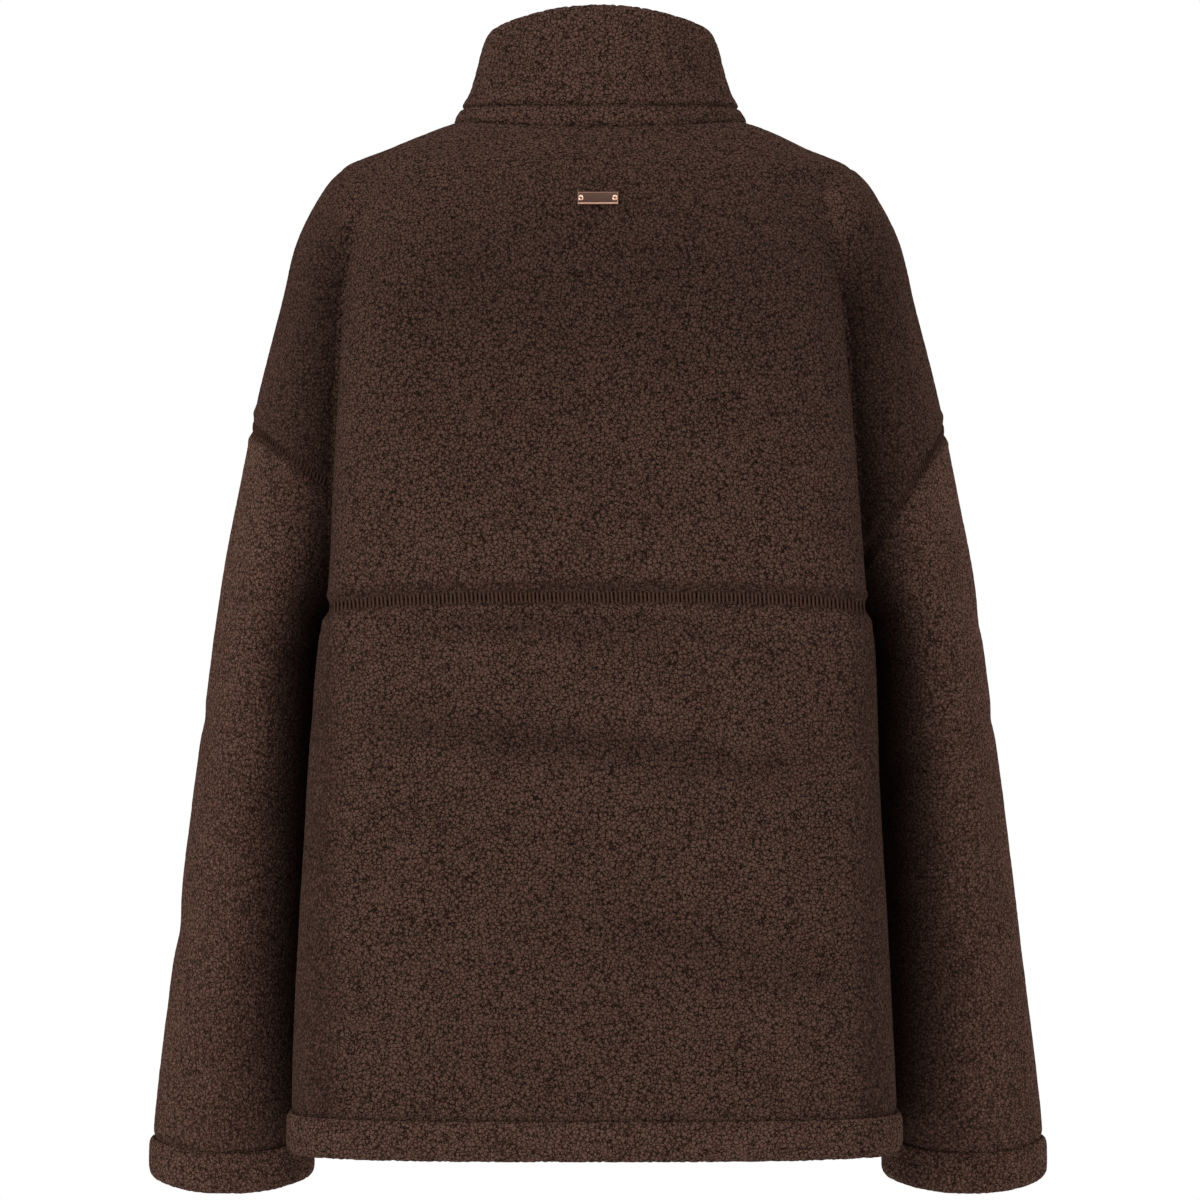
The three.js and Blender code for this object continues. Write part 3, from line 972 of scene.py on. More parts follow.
def dress_pile(obj: bpy.types.Object, pile: Pile, combing: Callable, shaded: Callable) -> bpy.types.Object:
    """Raises the pile on the outside of a piece, and keeps its tone and painted shade for the material.

    Args:
        obj (bpy.types.Object): The piece.
        pile (Pile): The pile.
        combing (Callable): How combed it is at points in millimetres, 0 to 1.
        shaded (Callable): How much shade is painted into its colour at those points, 0 to 1.

    Returns:
        bpy.types.Object: The piece.
    """
    mesh = obj.data
    count = len(mesh.vertices)
    points = np.empty(count * 3, np.float32)
    mesh.vertices.foreach_get("co", points)
    points = points.reshape(-1, 3).astype(float) / MM
    normals = np.empty(count * 3, np.float32)
    mesh.vertex_normals.foreach_get("vector", normals)
    normals = normals.reshape(-1, 3).astype(float)
    skins = np.empty(len(mesh.polygons), np.int32)
    mesh.attributes["skin"].data.foreach_get("value", skins)
    loops = np.empty(len(mesh.loops), np.int32)
    mesh.loops.foreach_get("vertex_index", loops)
    sizes = np.empty(len(mesh.polygons), np.int32)
    mesh.polygons.foreach_get("loop_total", sizes)
    owner = np.repeat(skins, sizes)
    outside = np.zeros(count, bool)
    outside[loops[owner == Skin.OUTSIDE.value]] = True
    edged = np.zeros(count, bool)
    edged[loops[owner != Skin.OUTSIDE.value]] = True
    weight = (outside & ~edged).astype(float)
    ends = np.empty(len(mesh.edges) * 2, np.int32)
    mesh.edges.foreach_get("vertices", ends)
    ends = ends.reshape(-1, 2)
    for _ in range(2):
        low = weight.copy()
        np.minimum.at(low, ends[:, 0], 0.5 * weight[ends[:, 1]] + 0.5)
        np.minimum.at(low, ends[:, 1], 0.5 * weight[ends[:, 0]] + 0.5)
        weight = np.minimum(weight, low)
    # deep is the shade painted into the colour at each point
    combed, deep = np.clip(combing(points), 0, 1), np.clip(shaded(points), 0, 1)
    move, tone = pile.lift(points, combed)
    points += normals * (move * weight)[:, None]
    mesh.vertices.foreach_set("co", (points * MM).astype(np.float32).ravel())
    # The painted shade is kept on the points for the material
    for name, values in (("pile", np.where(outside, tone, 0.45)), ("combed", combed), ("painted_shade", deep)):
        mesh.attributes.new(name, "FLOAT", "POINT").data.foreach_set("value", values.astype(np.float32))
    mesh.attributes.remove(mesh.attributes["skin"])
    mesh.update()
    return obj


def shade_smooth(obj: bpy.types.Object, angle: float = 1.1) -> None:
    """Smooth shading that keeps sharp rims."""
    obj.data.shade_smooth()
    obj.data.set_sharp_from_angle(angle=angle)


class Number:
    """A number socket with arithmetic that makes Math nodes."""

    def __init__(self, graph: "Graph", socket: bpy.types.NodeSocket) -> None:
        """Wraps a socket."""
        self.graph, self.socket = graph, socket

    def _with(self, operation: str, first: object, second: object) -> "Number":
        """Adds one Math node over two values."""
        node = self.graph.add("ShaderNodeMath", {"operation": operation}, {0: first, 1: second})
        return Number(self.graph, node.outputs[0])

    def __add__(self, other: object) -> "Number":
        """Self plus a value."""
        return self._with("ADD", self, other)

    def __radd__(self, other: object) -> "Number":
        """A value plus self."""
        return self._with("ADD", other, self)

    def __sub__(self, other: object) -> "Number":
        """Self less a value."""
        return self._with("SUBTRACT", self, other)

    def __rsub__(self, other: object) -> "Number":
        """A value less self."""
        return self._with("SUBTRACT", other, self)

    def __mul__(self, other: object) -> "Number":
        """Self times a value."""
        return self._with("MULTIPLY", self, other)

    def __rmul__(self, other: object) -> "Number":
        """A value times self."""
        return self._with("MULTIPLY", other, self)


class Graph:
    """A material and its nodes."""

    def __init__(self, name: str) -> None:
        """Makes an empty node material.

        Args:
            name (str): Material name.
        """
        self.material = bpy.data.materials.new(name)
        self.material.use_nodes = True
        self.tree = self.material.node_tree
        self.tree.nodes.clear()
        self.output = self.add("ShaderNodeOutputMaterial")

    def add(self, kind: str, settings: dict | None = None, sockets: dict | None = None) -> bpy.types.Node:
        """Makes a node.

        Args:
            kind (str): Node type.
            settings (dict | None): Its properties.
            sockets (dict | None): Values or sockets by input name or index.

        Returns:
            bpy.types.Node: The node.
        """
        node = self.tree.nodes.new(kind)
        for name, value in (settings or {}).items():
            setattr(node, name, value)
        for key, value in (sockets or {}).items():
            if isinstance(value, Number):
                value = value.socket
            if isinstance(value, bpy.types.NodeSocket):
                self.tree.links.new(value, node.inputs[key])
            else:
                node.inputs[key].default_value = value
        return node

    def attribute(self, name: str) -> Number:
        """A number kept on the mesh."""
        return Number(self, self.add("ShaderNodeAttribute", {"attribute_name": name}).outputs["Fac"])

    def noise(self, place: bpy.types.NodeSocket, scale: float, detail: float = 2.0) -> Number:
        """Noise over a place."""
        node = self.add("ShaderNodeTexNoise", None, {"Vector": place, "Scale": scale, "Detail": detail})
        return Number(self, node.outputs[0])

    def cells(self, place: bpy.types.NodeSocket, scale: float, part: CellPart) -> Number:
        """Distances in a field of irregular cells.

        Args:
            place (bpy.types.NodeSocket): Coordinates.
            scale (float): Cells a metre.
            part (CellPart): What the distance is measured from.

        Returns:
            Number: The distance, in cells.
        """
        settings = {"voronoi_dimensions": "3D", "feature": part.value}
        node = self.add("ShaderNodeTexVoronoi", settings, {"Vector": place, "Scale": scale})
        return Number(self, node.outputs["Distance"])

    def mix(self, factor: object, a: tuple, b: object) -> bpy.types.NodeSocket:
        """Mixes two colours."""
        node = self.add("ShaderNodeMix", {"data_type": "RGBA"}, {0: factor, 6: a, 7: b})
        return node.outputs[2]

    def stretched(self, scale: tuple) -> bpy.types.NodeSocket:
        """Object coordinates, stretched.

        Args:
            scale (tuple): Factor along each axis.

        Returns:
            bpy.types.NodeSocket: Coordinates.
        """
        place = self.add("ShaderNodeTexCoord").outputs["Object"]
        node = self.add("ShaderNodeVectorMath", {"operation": "MULTIPLY"}, {0: place, 1: scale})
        return node.outputs[0]

    def warped(self, place: bpy.types.NodeSocket, scale: float, reach: float) -> bpy.types.NodeSocket:
        """Coordinates bent by noise.

        Args:
            place (bpy.types.NodeSocket): Coordinates.
            scale (float): Bends a metre.
            reach (float): How far they are moved, metres.

        Returns:
            bpy.types.NodeSocket: Coordinates.
        """
        bend = self.add("ShaderNodeTexNoise", None, {"Vector": place, "Scale": scale, "Detail": 1.0})
        move = self.add("ShaderNodeVectorMath", {"operation": "MULTIPLY_ADD"},
                        {0: bend.outputs[1], 1: (reach,) * 3, 2: place})
        return move.outputs[0]

    def between(self, value: Number, low: float, high: float) -> Number:
        """Stretches a range to run from 0 to 1, and keeps it there."""
        node = self.add("ShaderNodeMapRange", None, {0: value, 1: low, 2: high, 3: 0.0, 4: 1.0})
        return Number(self, node.outputs[0])

    def finish(self, shader: bpy.types.Node) -> bpy.types.Material:
        """Joins the shader to the output."""
        self.tree.links.new(shader.outputs[0], self.output.inputs[0])
        return self.material


@dataclass(frozen=True)
class FleeceFinish:
    """Dark brown sherpa fleece. Curls, bends and strands are counted by the metre."""

    name: str
    # Painted shade: near-black colour for the pits between curls and for the painted creases
    painted_shade_colour: tuple = (0.0022, 0.0011, 0.0008, 1)
    curl: tuple = (0.0138, 0.0071, 0.0051, 1)
    tip: tuple = (0.0440, 0.0240, 0.0180, 1)
    # light: 1 for the body; above 1 the copy is painted lighter, as painted light on the sleeves, cuffs and
    # hem
    light: float = 1.0
    roughness: float = 0.95
    sheen: float = 0.02
    bump: float = 0.95
    bump_deep: float = 0.0022
    # shade: strength of the shade painted into the colour
    shade: float = 0.85
    curls: float = 420.0
    clumps: float = 380.0
    naps: float = 760.0
    strands: float = 1300.0
    patches: float = 30.0
    curl_bend: tuple = (460.0, 0.0030)
    nap_bend: tuple = (360.0, 0.0022)
    nap_stretch: tuple = (1, 1, 0.55)

    def make(self) -> bpy.types.Material:
        """Builds the material.

        Returns:
            bpy.types.Material: The material.
        """
        g = Graph(self.name)
        even = g.stretched((1, 1, 1))
        # deep reads the painted shade kept on the mesh
        pile, combed, deep = g.attribute("pile"), g.attribute("combed"), g.attribute("painted_shade")
        bent = g.warped(even, *self.curl_bend)
        dome = g.between(g.cells(bent, self.curls, CellPart.MIDDLE), 0.85, 0.05)
        lobe = g.between(g.cells(bent, self.curls, CellPart.EDGE), 0.0, 0.12)
        merged = g.between(g.noise(even, self.clumps, 1), 0.46, 0.6)
        lobe = lobe + (1.0 - lobe) * merged * 0.7
        streaks = g.warped(g.stretched(self.nap_stretch), *self.nap_bend)
        nap = g.between(g.noise(streaks, self.naps, 2), 0.3, 0.66)
        strand = g.noise(even, self.strands, 2)
        curl = dome * 0.22 + lobe * 0.78
        tuft = curl * (1.0 - combed) + (nap * 0.5 + curl * 0.5) * combed
        fine = tuft * 0.82 + strand * 0.18
        depth = fine + pile * 0.02 + (g.noise(even, self.patches, 3) - 0.5) * 0.12 - 0.03
        # Painted shade in the pits between curls: the lowest depth mixes to the shade colour
        body = g.mix(g.between(depth, 0.1, 0.7), self.painted_shade_colour, self.lit(self.curl))
        raised = g.mix(g.between(depth, 0.6, 1.0), body, self.lit(self.tip))
        # Painted shade: the colour is darkened toward the shade colour where the mesh carries painted shade
        colour = g.mix(deep * self.shade, raised, self.painted_shade_colour)
        relief = {"Strength": self.bump, "Distance": self.bump_deep, "Height": fine}
        bump = g.add("ShaderNodeBump", None, relief)
        shader = g.add("ShaderNodeBsdfPrincipled", None, {
            "Base Color": colour, "Roughness": self.roughness, "Normal": bump.outputs[0],
            "Sheen Weight": self.sheen, "Sheen Roughness": 0.5, "Sheen Tint": (0.6, 0.42, 0.34, 1),
            "Specular IOR Level": 0.0,
        })
        return g.finish(shader)

    def lit(self, tone: tuple) -> tuple:
        """A colour made as light as this fleece is; above 1 this is painted light."""
        return tuple(c * self.light for c in tone[:3]) + (1,)


@dataclass(frozen=True)
class ThreadFinish:
    """Dark sewing thread."""

    name: str = "thread"
    dark: tuple = (0.012, 0.0060, 0.0043, 1)
    light: tuple = (0.034, 0.0178, 0.0129, 1)

    def make(self) -> bpy.types.Material:
        """Builds the material.

        Returns:
            bpy.types.Material: The material.
        """
        g = Graph(self.name)
        twist = g.noise(g.stretched((1, 1, 1)), 1500, 2)
        colour = g.mix(twist, self.dark, self.light)
        bump = g.add("ShaderNodeBump", None, {"Strength": 0.5, "Distance": 0.0003, "Height": twist})
        shader = g.add("ShaderNodeBsdfPrincipled", None, {
            "Base Color": colour, "Roughness": 0.85, "Normal": bump.outputs[0], "Specular IOR Level": 0.0,
        })
        return g.finish(shader)


@dataclass(frozen=True)
class MetalFinish:
    """Satin rose metal, slightly worn on its edge."""

    name: str = "plate"
    base: tuple = (0.035, 0.02, 0.015, 1)
    worn: tuple = (0.52, 0.3, 0.22, 1)

    def make(self) -> bpy.types.Material:
        """Builds the material.

        Returns:
            bpy.types.Material: The material.
        """
        g = Graph(self.name)
        brushed = g.noise(g.stretched((0.08, 1, 1)), 2600, 3)
        rim = g.attribute("rim")
        colour = g.mix(rim * 0.92 + brushed * 0.08, self.base, self.worn)
        rough = 0.3 + brushed * 0.18
        bump = g.add("ShaderNodeBump", None, {"Strength": 0.15, "Distance": 0.0001, "Height": brushed})
        shader = g.add("ShaderNodeBsdfPrincipled", None, {
            "Base Color": colour, "Metallic": 1.0, "Roughness": rough, "Normal": bump.outputs[0],
        })
        return g.finish(shader)


@dataclass(frozen=True)
class FloorFinish:
    """Plain pale floor."""

    name: str = "floor"
    colour: tuple = (0.86, 0.86, 0.86, 1)

    def make(self) -> bpy.types.Material:
        """Builds the material.

        Returns:
            bpy.types.Material: The material.
        """
        g = Graph(self.name)
        shader = g.add("ShaderNodeBsdfPrincipled", None, {"Base Color": self.colour, "Roughness": 0.9})
        return g.finish(shader)


@dataclass(frozen=True)
class Cut:
    """Flat size of a piece before sewing, in metres."""

    width: float
    length: float
    area: float | None = None


class Piece:
    """A finished piece and the node that it replaces."""

    def __init__(self, obj: bpy.types.Object, material: bpy.types.Material, node: str, slot: str) -> None:
        """Gives the piece its finish and place.

        Args:
            obj (bpy.types.Object): The piece.
            material (bpy.types.Material): Its finish.
            node (str): The CAD node.
            slot (str): Not used.
        """
        obj.data.materials.clear()
        obj.data.materials.append(material)
        self.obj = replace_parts(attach(obj, "root"), node)
        LOG.info("%s: %d triangles", obj.name, sum(len(p.vertices) - 2 for p in obj.data.polygons))


@dataclass
class Shell:
    """The sewn panels: both backs, the front and the sleeves."""

    detail: Detail
    pile: Pile = Pile()
    cuts: tuple = (
        ("back_upper", Cut(0.62, 0.36, 0.19)), ("back_lower", Cut(0.60, 0.34, 0.195)),
        ("front", Cut(0.74, 0.62, 0.33)), ("sleeve_left", Cut(0.34, 0.49, 0.137)),
        ("sleeve_right", Cut(0.34, 0.49, 0.137)),
    )
    half_wide: float = 400.0
    half_deep: float = 300.0
    run_out: float = 30.0
    arm_reach: tuple = (60.0, 330.0)
    arm_deep: float = 160.0
    arm_hollow: float = 9.0
    below_all: Bound = Bound(-900)
    above_all: Bound = Bound(200)

    def build(self) -> dict:
        """Forms the walls and cuts them at their seams.

        Returns:
            dict: Pieces by name.
        """
        d, torso = self.detail, Torso()
        angles = torso.spread(EVEN_Z, d.back, d.front)
        rows = np.linspace(NECK_Z, TORSO_END, int((NECK_Z - TORSO_END) / d.row) + 1)
        near = np.linspace(NECK_Z, SHOULDER_Z, int(-SHOULDER_Z / d.row * 1.5))
        rows = np.concatenate([near, rows[rows < SHOULDER_Z - 0.5]])
        full = Maker.loft("torso", torso.rings(rows, angles, 0, True))
        clear = Maker.loft("torso_clear", torso.rings(rows[::3], angles[::3], GAP, True))
        depths = np.concatenate([np.linspace(NECK_Z, SHOULDER_Z, 9), np.linspace(-75, TORSO_END, 46)])
        inside = torso.rings(depths, torso.spread(EVEN_Z, d.hollow, d.hollow), -WALL, False)
        hollow = self.hollow("torso_hollow", inside, 60)
        body, room = Maker.join(full, hollow, Change.CUT), Collar.room()
        body = Maker.join(body, room, Change.CUT)
        made = {}
        for side in Side:
            body, made["sleeve_" + side.name.lower()] = self.sleeve(side, body, hollow, clear)
        deep, tall, half = self.below_all, self.above_all, GAP / 2
        wide, thick = (-self.half_wide, self.half_wide), (-self.half_deep, self.half_deep)
        back = Maker.block("back", wide, (SIDE_SEAM_Y + half, thick[1]), deep, tall)
        front = Maker.block("front_half", wide, (thick[0], SIDE_SEAM_Y - half), deep, tall)
        upper = Maker.block("upper", thick, thick, Bound(half, Run.BACK_SEAM), tall, 80)
        lower = Maker.block("lower", thick, thick, deep, Bound(-half, Run.BACK_SEAM), 80)
        made["front"] = Maker.join(Maker.copy(body, "front_piece"), front, Change.KEEP)
        body = Maker.join(body, back, Change.KEEP)
        made["back_upper"] = Maker.join(Maker.copy(body, "back_upper_piece"), upper, Change.KEEP)
        made["back_lower"] = Maker.join(body, lower, Change.KEEP)
        Maker.drop(back, front, upper, lower, clear, hollow, room)
        for name, obj in made.items():
            obj.name = name + "_fleece"
            self.largest(obj)
        return made

    def sleeve(
        self, side: Side, body: bpy.types.Object, hollow: bpy.types.Object, clear: bpy.types.Object
    ) -> tuple:
        """Forms one arm, gives the part above its seam to the body, and keeps the sleeve.

        Args:
            side (Side): Left or right.
            body (bpy.types.Object): The body so far.
            hollow (bpy.types.Object): The inside of the body.
            clear (bpy.types.Object): What the sleeve stays out of.

        Returns:
            tuple: The body with its dropped shoulder, and the sleeve.
        """
        arm, step = Arm(side), self.detail.arm
        around = arm.spread(EVEN_Z, step, step)
        above = np.linspace(ARM_TOP_Z, SHOULDER_Z, int(44 / step))
        first = SHOULDER_Z - 1
        heights = np.concatenate([above, np.linspace(first, SLEEVE_END, int((first - SLEEVE_END) / step))])
        shell = Maker.loft("arm", arm.rings(heights, around, 0, True))
        depths = np.concatenate([np.linspace(-38, -70, 7), np.linspace(-80, SLEEVE_END, 42)])
        spaced = arm.spread(EVEN_Z, self.arm_hollow, self.arm_hollow)
        inner = self.hollow("arm_hollow", arm.rings(depths, spaced, -WALL, False), 0)
        shell = Maker.join(shell, inner, Change.CUT)
        reach = tuple(sorted(x * side.value for x in self.arm_reach))
        thick = (-self.arm_deep, self.arm_deep)
        run = Run.ARMHOLE_LEFT if side is Side.LEFT else Run.ARMHOLE_RIGHT
        upper = Maker.block("above", reach, thick, Bound(GAP / 2, run), Bound(100), 40)
        lower = Maker.block("below", reach, thick, self.below_all, Bound(-GAP / 2, run), 40)
        cap = Maker.join(Maker.copy(shell, "cap"), upper, Change.KEEP)
        cap = Maker.join(cap, hollow, Change.CUT)
        body = Maker.join(Maker.join(body, inner, Change.CUT), cap, Change.ADD)
        sleeve = Maker.join(Maker.join(shell, lower, Change.KEEP), clear, Change.CUT)
        Maker.drop(upper, lower, cap, inner)
        return body, sleeve

    def hollow(self, name: str, rings: np.ndarray, above: float) -> bpy.types.Object:
        """The empty inside of a tube, which runs out past its open ends.

        Args:
            name (str): Object name.
            rings (np.ndarray): Inner rings.
            above (float): How far it runs out at the top.

        Returns:
            bpy.types.Object: The body to cut away.
        """
        parts = [rings, rings[-1:] - [0, 0, self.run_out]]
        if above:
            parts.insert(0, rings[:1] + [0, 0, above])
        return Maker.loft(name, np.concatenate(parts), Skin.HOLLOW)

    @staticmethod
    def largest(obj: bpy.types.Object) -> bpy.types.Object:
        """Keeps the largest separate part of a body.

        Args:
            obj (bpy.types.Object): The body.

        Returns:
            bpy.types.Object: The body.
        """
        mesh = obj.data
        ends = np.empty(len(mesh.edges) * 2, np.int32)
        mesh.edges.foreach_get("vertices", ends)
        ends = ends.reshape(-1, 2)
        label = np.arange(len(mesh.vertices))
        while True:
            low = np.minimum(label[ends[:, 0]], label[ends[:, 1]])
            new = label.copy()
            np.minimum.at(new, ends[:, 0], low)
            np.minimum.at(new, ends[:, 1], low)
            new = new[new]
            if (new == label).all():
                break
            label = new
        values, counts = np.unique(label, return_counts=True)
        if len(values) > 1:
            keep = values[counts.argmax()]
            work = bmesh.new()
            work.from_mesh(mesh)
            work.verts.ensure_lookup_table()
            loose = [work.verts[int(i)] for i in np.where(label != keep)[0]]
            bmesh.ops.delete(work, geom=loose, context="VERTS")
            work.to_mesh(mesh)
            work.free()
        return obj

    @staticmethod
    def panel_combing(p: np.ndarray) -> np.ndarray:
        """The nap of the body, brushed flat along its sides.

        Args:
            p (np.ndarray): Points.

        Returns:
            np.ndarray: 0 for curls, 1 for a combed nap.
        """
        side = np.clip((np.abs(p[:, 0]) - 158) / 14, 0, 1)
        rolled = 0.9 * bell((p[:, 2] - back_seam(p[:, 0]) - 7.5) / 3) * (p[:, 1] > SIDE_SEAM_Y)
        return np.maximum(rolled, side * (0.45 + 0.35 * np.clip((-300 - p[:, 2]) / 60, 0, 1)))

    @staticmethod
    def sleeve_combing(p: np.ndarray) -> np.ndarray:
        """The nap of a sleeve, more brushed toward the wrist."""
        return 0.4 + 0.25 * np.clip((-260 - p[:, 2]) / 150, 0, 1)

    def dress(self, body: bpy.types.Material, brushed: bpy.types.Material, made: dict) -> None:
        """Args:
            body (bpy.types.Material): The fleece of the body.
            brushed (bpy.types.Material): The fleece of the more brushed sleeves, a copy painted lighter as
                painted light.
            made (dict): Pieces by name.
        """
        for name, obj in made.items():
            sleeve = name.startswith("sleeve")
            dress_pile(obj, self.pile, self.sleeve_combing if sleeve else self.panel_combing, painted_shade)
            shade_smooth(obj)
            Piece(obj, brushed if sleeve else body, name, "fleece")
            dict(self.cuts)[name]


@dataclass
class Bands:
    """Folded bands at the hem and the wrists."""

    detail: Detail
    pile: Pile = Pile(rise=0.9, sink=0.45)
    hem: tuple = (23.5, 3.2, 6.0)
    cuff: tuple = (25.0, 2.6, 6.0)

    def section(self, height: float, out: float, inside: float) -> np.ndarray:
        """Outline of a folded band, evenly stepped.

        Args:
            height (float): Band height.
            out (float): How far it stands out of the panel.
            inside (float): How far it reaches in.

        Returns:
            np.ndarray: Out and down for each point.
        """
        corners = np.array([
            (-inside + 1.5, 0), (-inside, 4), (-inside, height - 6), (-inside + 2, height - 1.5),
            ((out - inside) / 2, height), (out - 2, height - 1.5), (out, height - 6), (out, 6),
            (out - 0.5, 1), (0.7, -1.5), (-1, -1.2), (-1.3, 0),
        ])
        return even_loop(corners, self.detail.band)

    def build(self) -> dict:
        """Sweeps the section round each opening.

        Returns:
            dict: Pieces by name.
        """
        made = {}
        jobs = [("hem", Torso(), TORSO_END, self.hem)]
        jobs += [("cuff_" + side.name.lower(), Arm(side), SLEEVE_END, self.cuff) for side in Side]
        for name, form, top, sizes in jobs:
            section = self.section(*sizes)
            angles = form.spread(top, self.detail.band, self.detail.band)
            tops = np.full_like(angles, top)
            p, n = form.point(angles, tops, 0, False), form.normal(angles, tops)
            ring = p[:, None, :] + n[:, None, :] * section[None, :, :1]
            ring[..., 2] -= GAP + section[None, :, 1]
            faces = Maker.grid(len(angles), len(section), True, True)
            made[name] = Maker.closed(name + "_band", ring.reshape(-1, 3), [faces])
        return made

    @staticmethod
    def combing(p: np.ndarray) -> np.ndarray:
        """The nap of the bands: the cuffs are more brushed than the hem."""
        return np.where(np.abs(p[:, 0]) > 196, 0.5, 0.2)

    @staticmethod
    def shaded(p: np.ndarray) -> np.ndarray:
        """Painted shade on the cuffs, at 0.3 of a panel's there since the bands stand out; none on the hem.
        """
        return np.where(np.abs(p[:, 0]) > 198, 0.3 * painted_shade(p), 0.0)

    def dress(self, hem: bpy.types.Material, cuff: bpy.types.Material, made: dict) -> None:
        """Args:
            hem (bpy.types.Material): The fleece of the hem, a copy painted lighter as painted light.
            cuff (bpy.types.Material): The fleece of the cuffs, the sleeves' copy painted lighter as painted
                light.
            made (dict): Pieces by name.
        """
        for name, obj in made.items():
            dress_pile(obj, self.pile, self.combing, self.shaded)
            shade_smooth(obj)
            Piece(obj, hem if name == "hem" else cuff, name, "band")


def even_loop(corners: np.ndarray, step: float) -> np.ndarray:
    """A smooth closed outline through corners, evenly stepped.

    Args:
        corners (np.ndarray): Corner points.
        step (float): Spacing.

    Returns:
        np.ndarray: Points.
    """
    n = len(corners)
    t = np.linspace(0, n, n * 24, endpoint=False)
    k, f = t.astype(int), (t % 1)[:, None]
    a, b, c, d = (corners[(k + i) % n] for i in (-1, 0, 1, 2))
    curve = 0.5 * (2 * b + (c - a) * f + (2 * a - 5 * b + 4 * c - d) * f**2 + (3 * b - a - 3 * c + d) * f**3)
    closed = np.concatenate([curve, curve[:1]])
    run = np.concatenate([[0], np.cumsum(np.linalg.norm(np.diff(closed, axis=0), axis=1))])
    want = np.arange(int(run[-1] / step)) * run[-1] / int(run[-1] / step)
    return np.stack([np.interp(want, run, closed[:, i]) for i in (0, 1)], axis=1)


@dataclass
class Collar:
    """Stand collar, folded over at the top and topstitched at its base."""

    detail: Detail
    pile: Pile = Pile(rise=0.95, sink=0.45)

    @staticmethod
    def point(angle: np.ndarray, up: np.ndarray, out: np.ndarray) -> np.ndarray:
        """A place in the collar wall.

        Args:
            angle (np.ndarray): Radians.
            up (np.ndarray): 0 at the base and 1 at the top.
            out (np.ndarray): Millimetres outward.

        Returns:
            np.ndarray: Points.
        """
        s = np.sin(angle)
        base = Torso().base(angle, np.full_like(angle, NECK_Z))
        top = np.where(s > 0, COLLAR_BACK, COLLAR_FRONT)
        height = COLLAR_SIDE + (top - COLLAR_SIDE) * s * s
        lean = Table(("up", "in"), COLLAR_LEAN).read("in", up)
        n = np.stack([base[..., 0] / COLLAR_HALF, base[..., 1] / COLLAR_DEEP, 0 * s], axis=-1)
        n /= np.linalg.norm(n, axis=-1, keepdims=True)
        rise = np.stack([0 * s, 0 * s, height * up - COLLAR_SINK], axis=-1)
        return base + rise + n * (out - lean)[..., None]

    @classmethod
    def room(cls) -> bpy.types.Object:
        """What the panels leave free for the collar.

        Returns:
            bpy.types.Object: The body to cut away.
        """
        corners = np.array([(0, -9, -GAP), (0.3, -9, 0), (0.3, 9, 0), (0, 7, -GAP)])
        count = 120
        angles = np.linspace(0, 2 * np.pi, count, endpoint=False)
        grid, k = np.meshgrid(angles, np.arange(4), indexing="ij")
        p = cls.point(grid, corners[k, 0], corners[k, 1])
        p[..., 2] += corners[k, 2]
        return Maker.closed("collar_room", p.reshape(-1, 3), [Maker.grid(count, 4, True, True)], Skin.CUT)

    def build(self) -> bpy.types.Object:
        """Sweeps the section round the neck.

        Returns:
            bpy.types.Object: The collar.
        """
        corners = np.array(COLLAR_SECTION, float) * [COLLAR_WALL, 1]
        section = even_loop(corners, self.detail.band)
        count = int(COLLAR_ROUND / self.detail.band)
        angles = np.linspace(0, 2 * np.pi, count, endpoint=False)
        grid, k = np.meshgrid(angles, np.arange(len(section)), indexing="ij")
        up, out = np.clip(section[k, 0] / COLLAR_WALL, 0, 1.02), section[k, 1]
        p = self.point(grid, up, out)
        s = np.sin(grid)
        fall = 0.3 + np.where(s > 0, 0.34, -0.08) * s * s
        p[..., 2] -= fall * np.clip(out, 0, 9) * np.clip(1 - up / 0.14, 0, 1)
        return Maker.closed("collar_fleece", p.reshape(-1, 3), [Maker.grid(count, len(section), True, True)])

    @staticmethod
    def shaded(p: np.ndarray) -> np.ndarray:
        """No painted shade and no combing: the collar stands in the open with its curls unbrushed."""
        return np.zeros(len(p))

    def dress(self, finish: bpy.types.Material, obj: bpy.types.Object) -> None:
        """Args:
            finish (bpy.types.Material): The fleece.
            obj (bpy.types.Object): The collar.
        """
        dress_pile(obj, self.pile, self.shaded, self.shaded)
        shade_smooth(obj)
        Piece(obj, finish, "collar", "band")


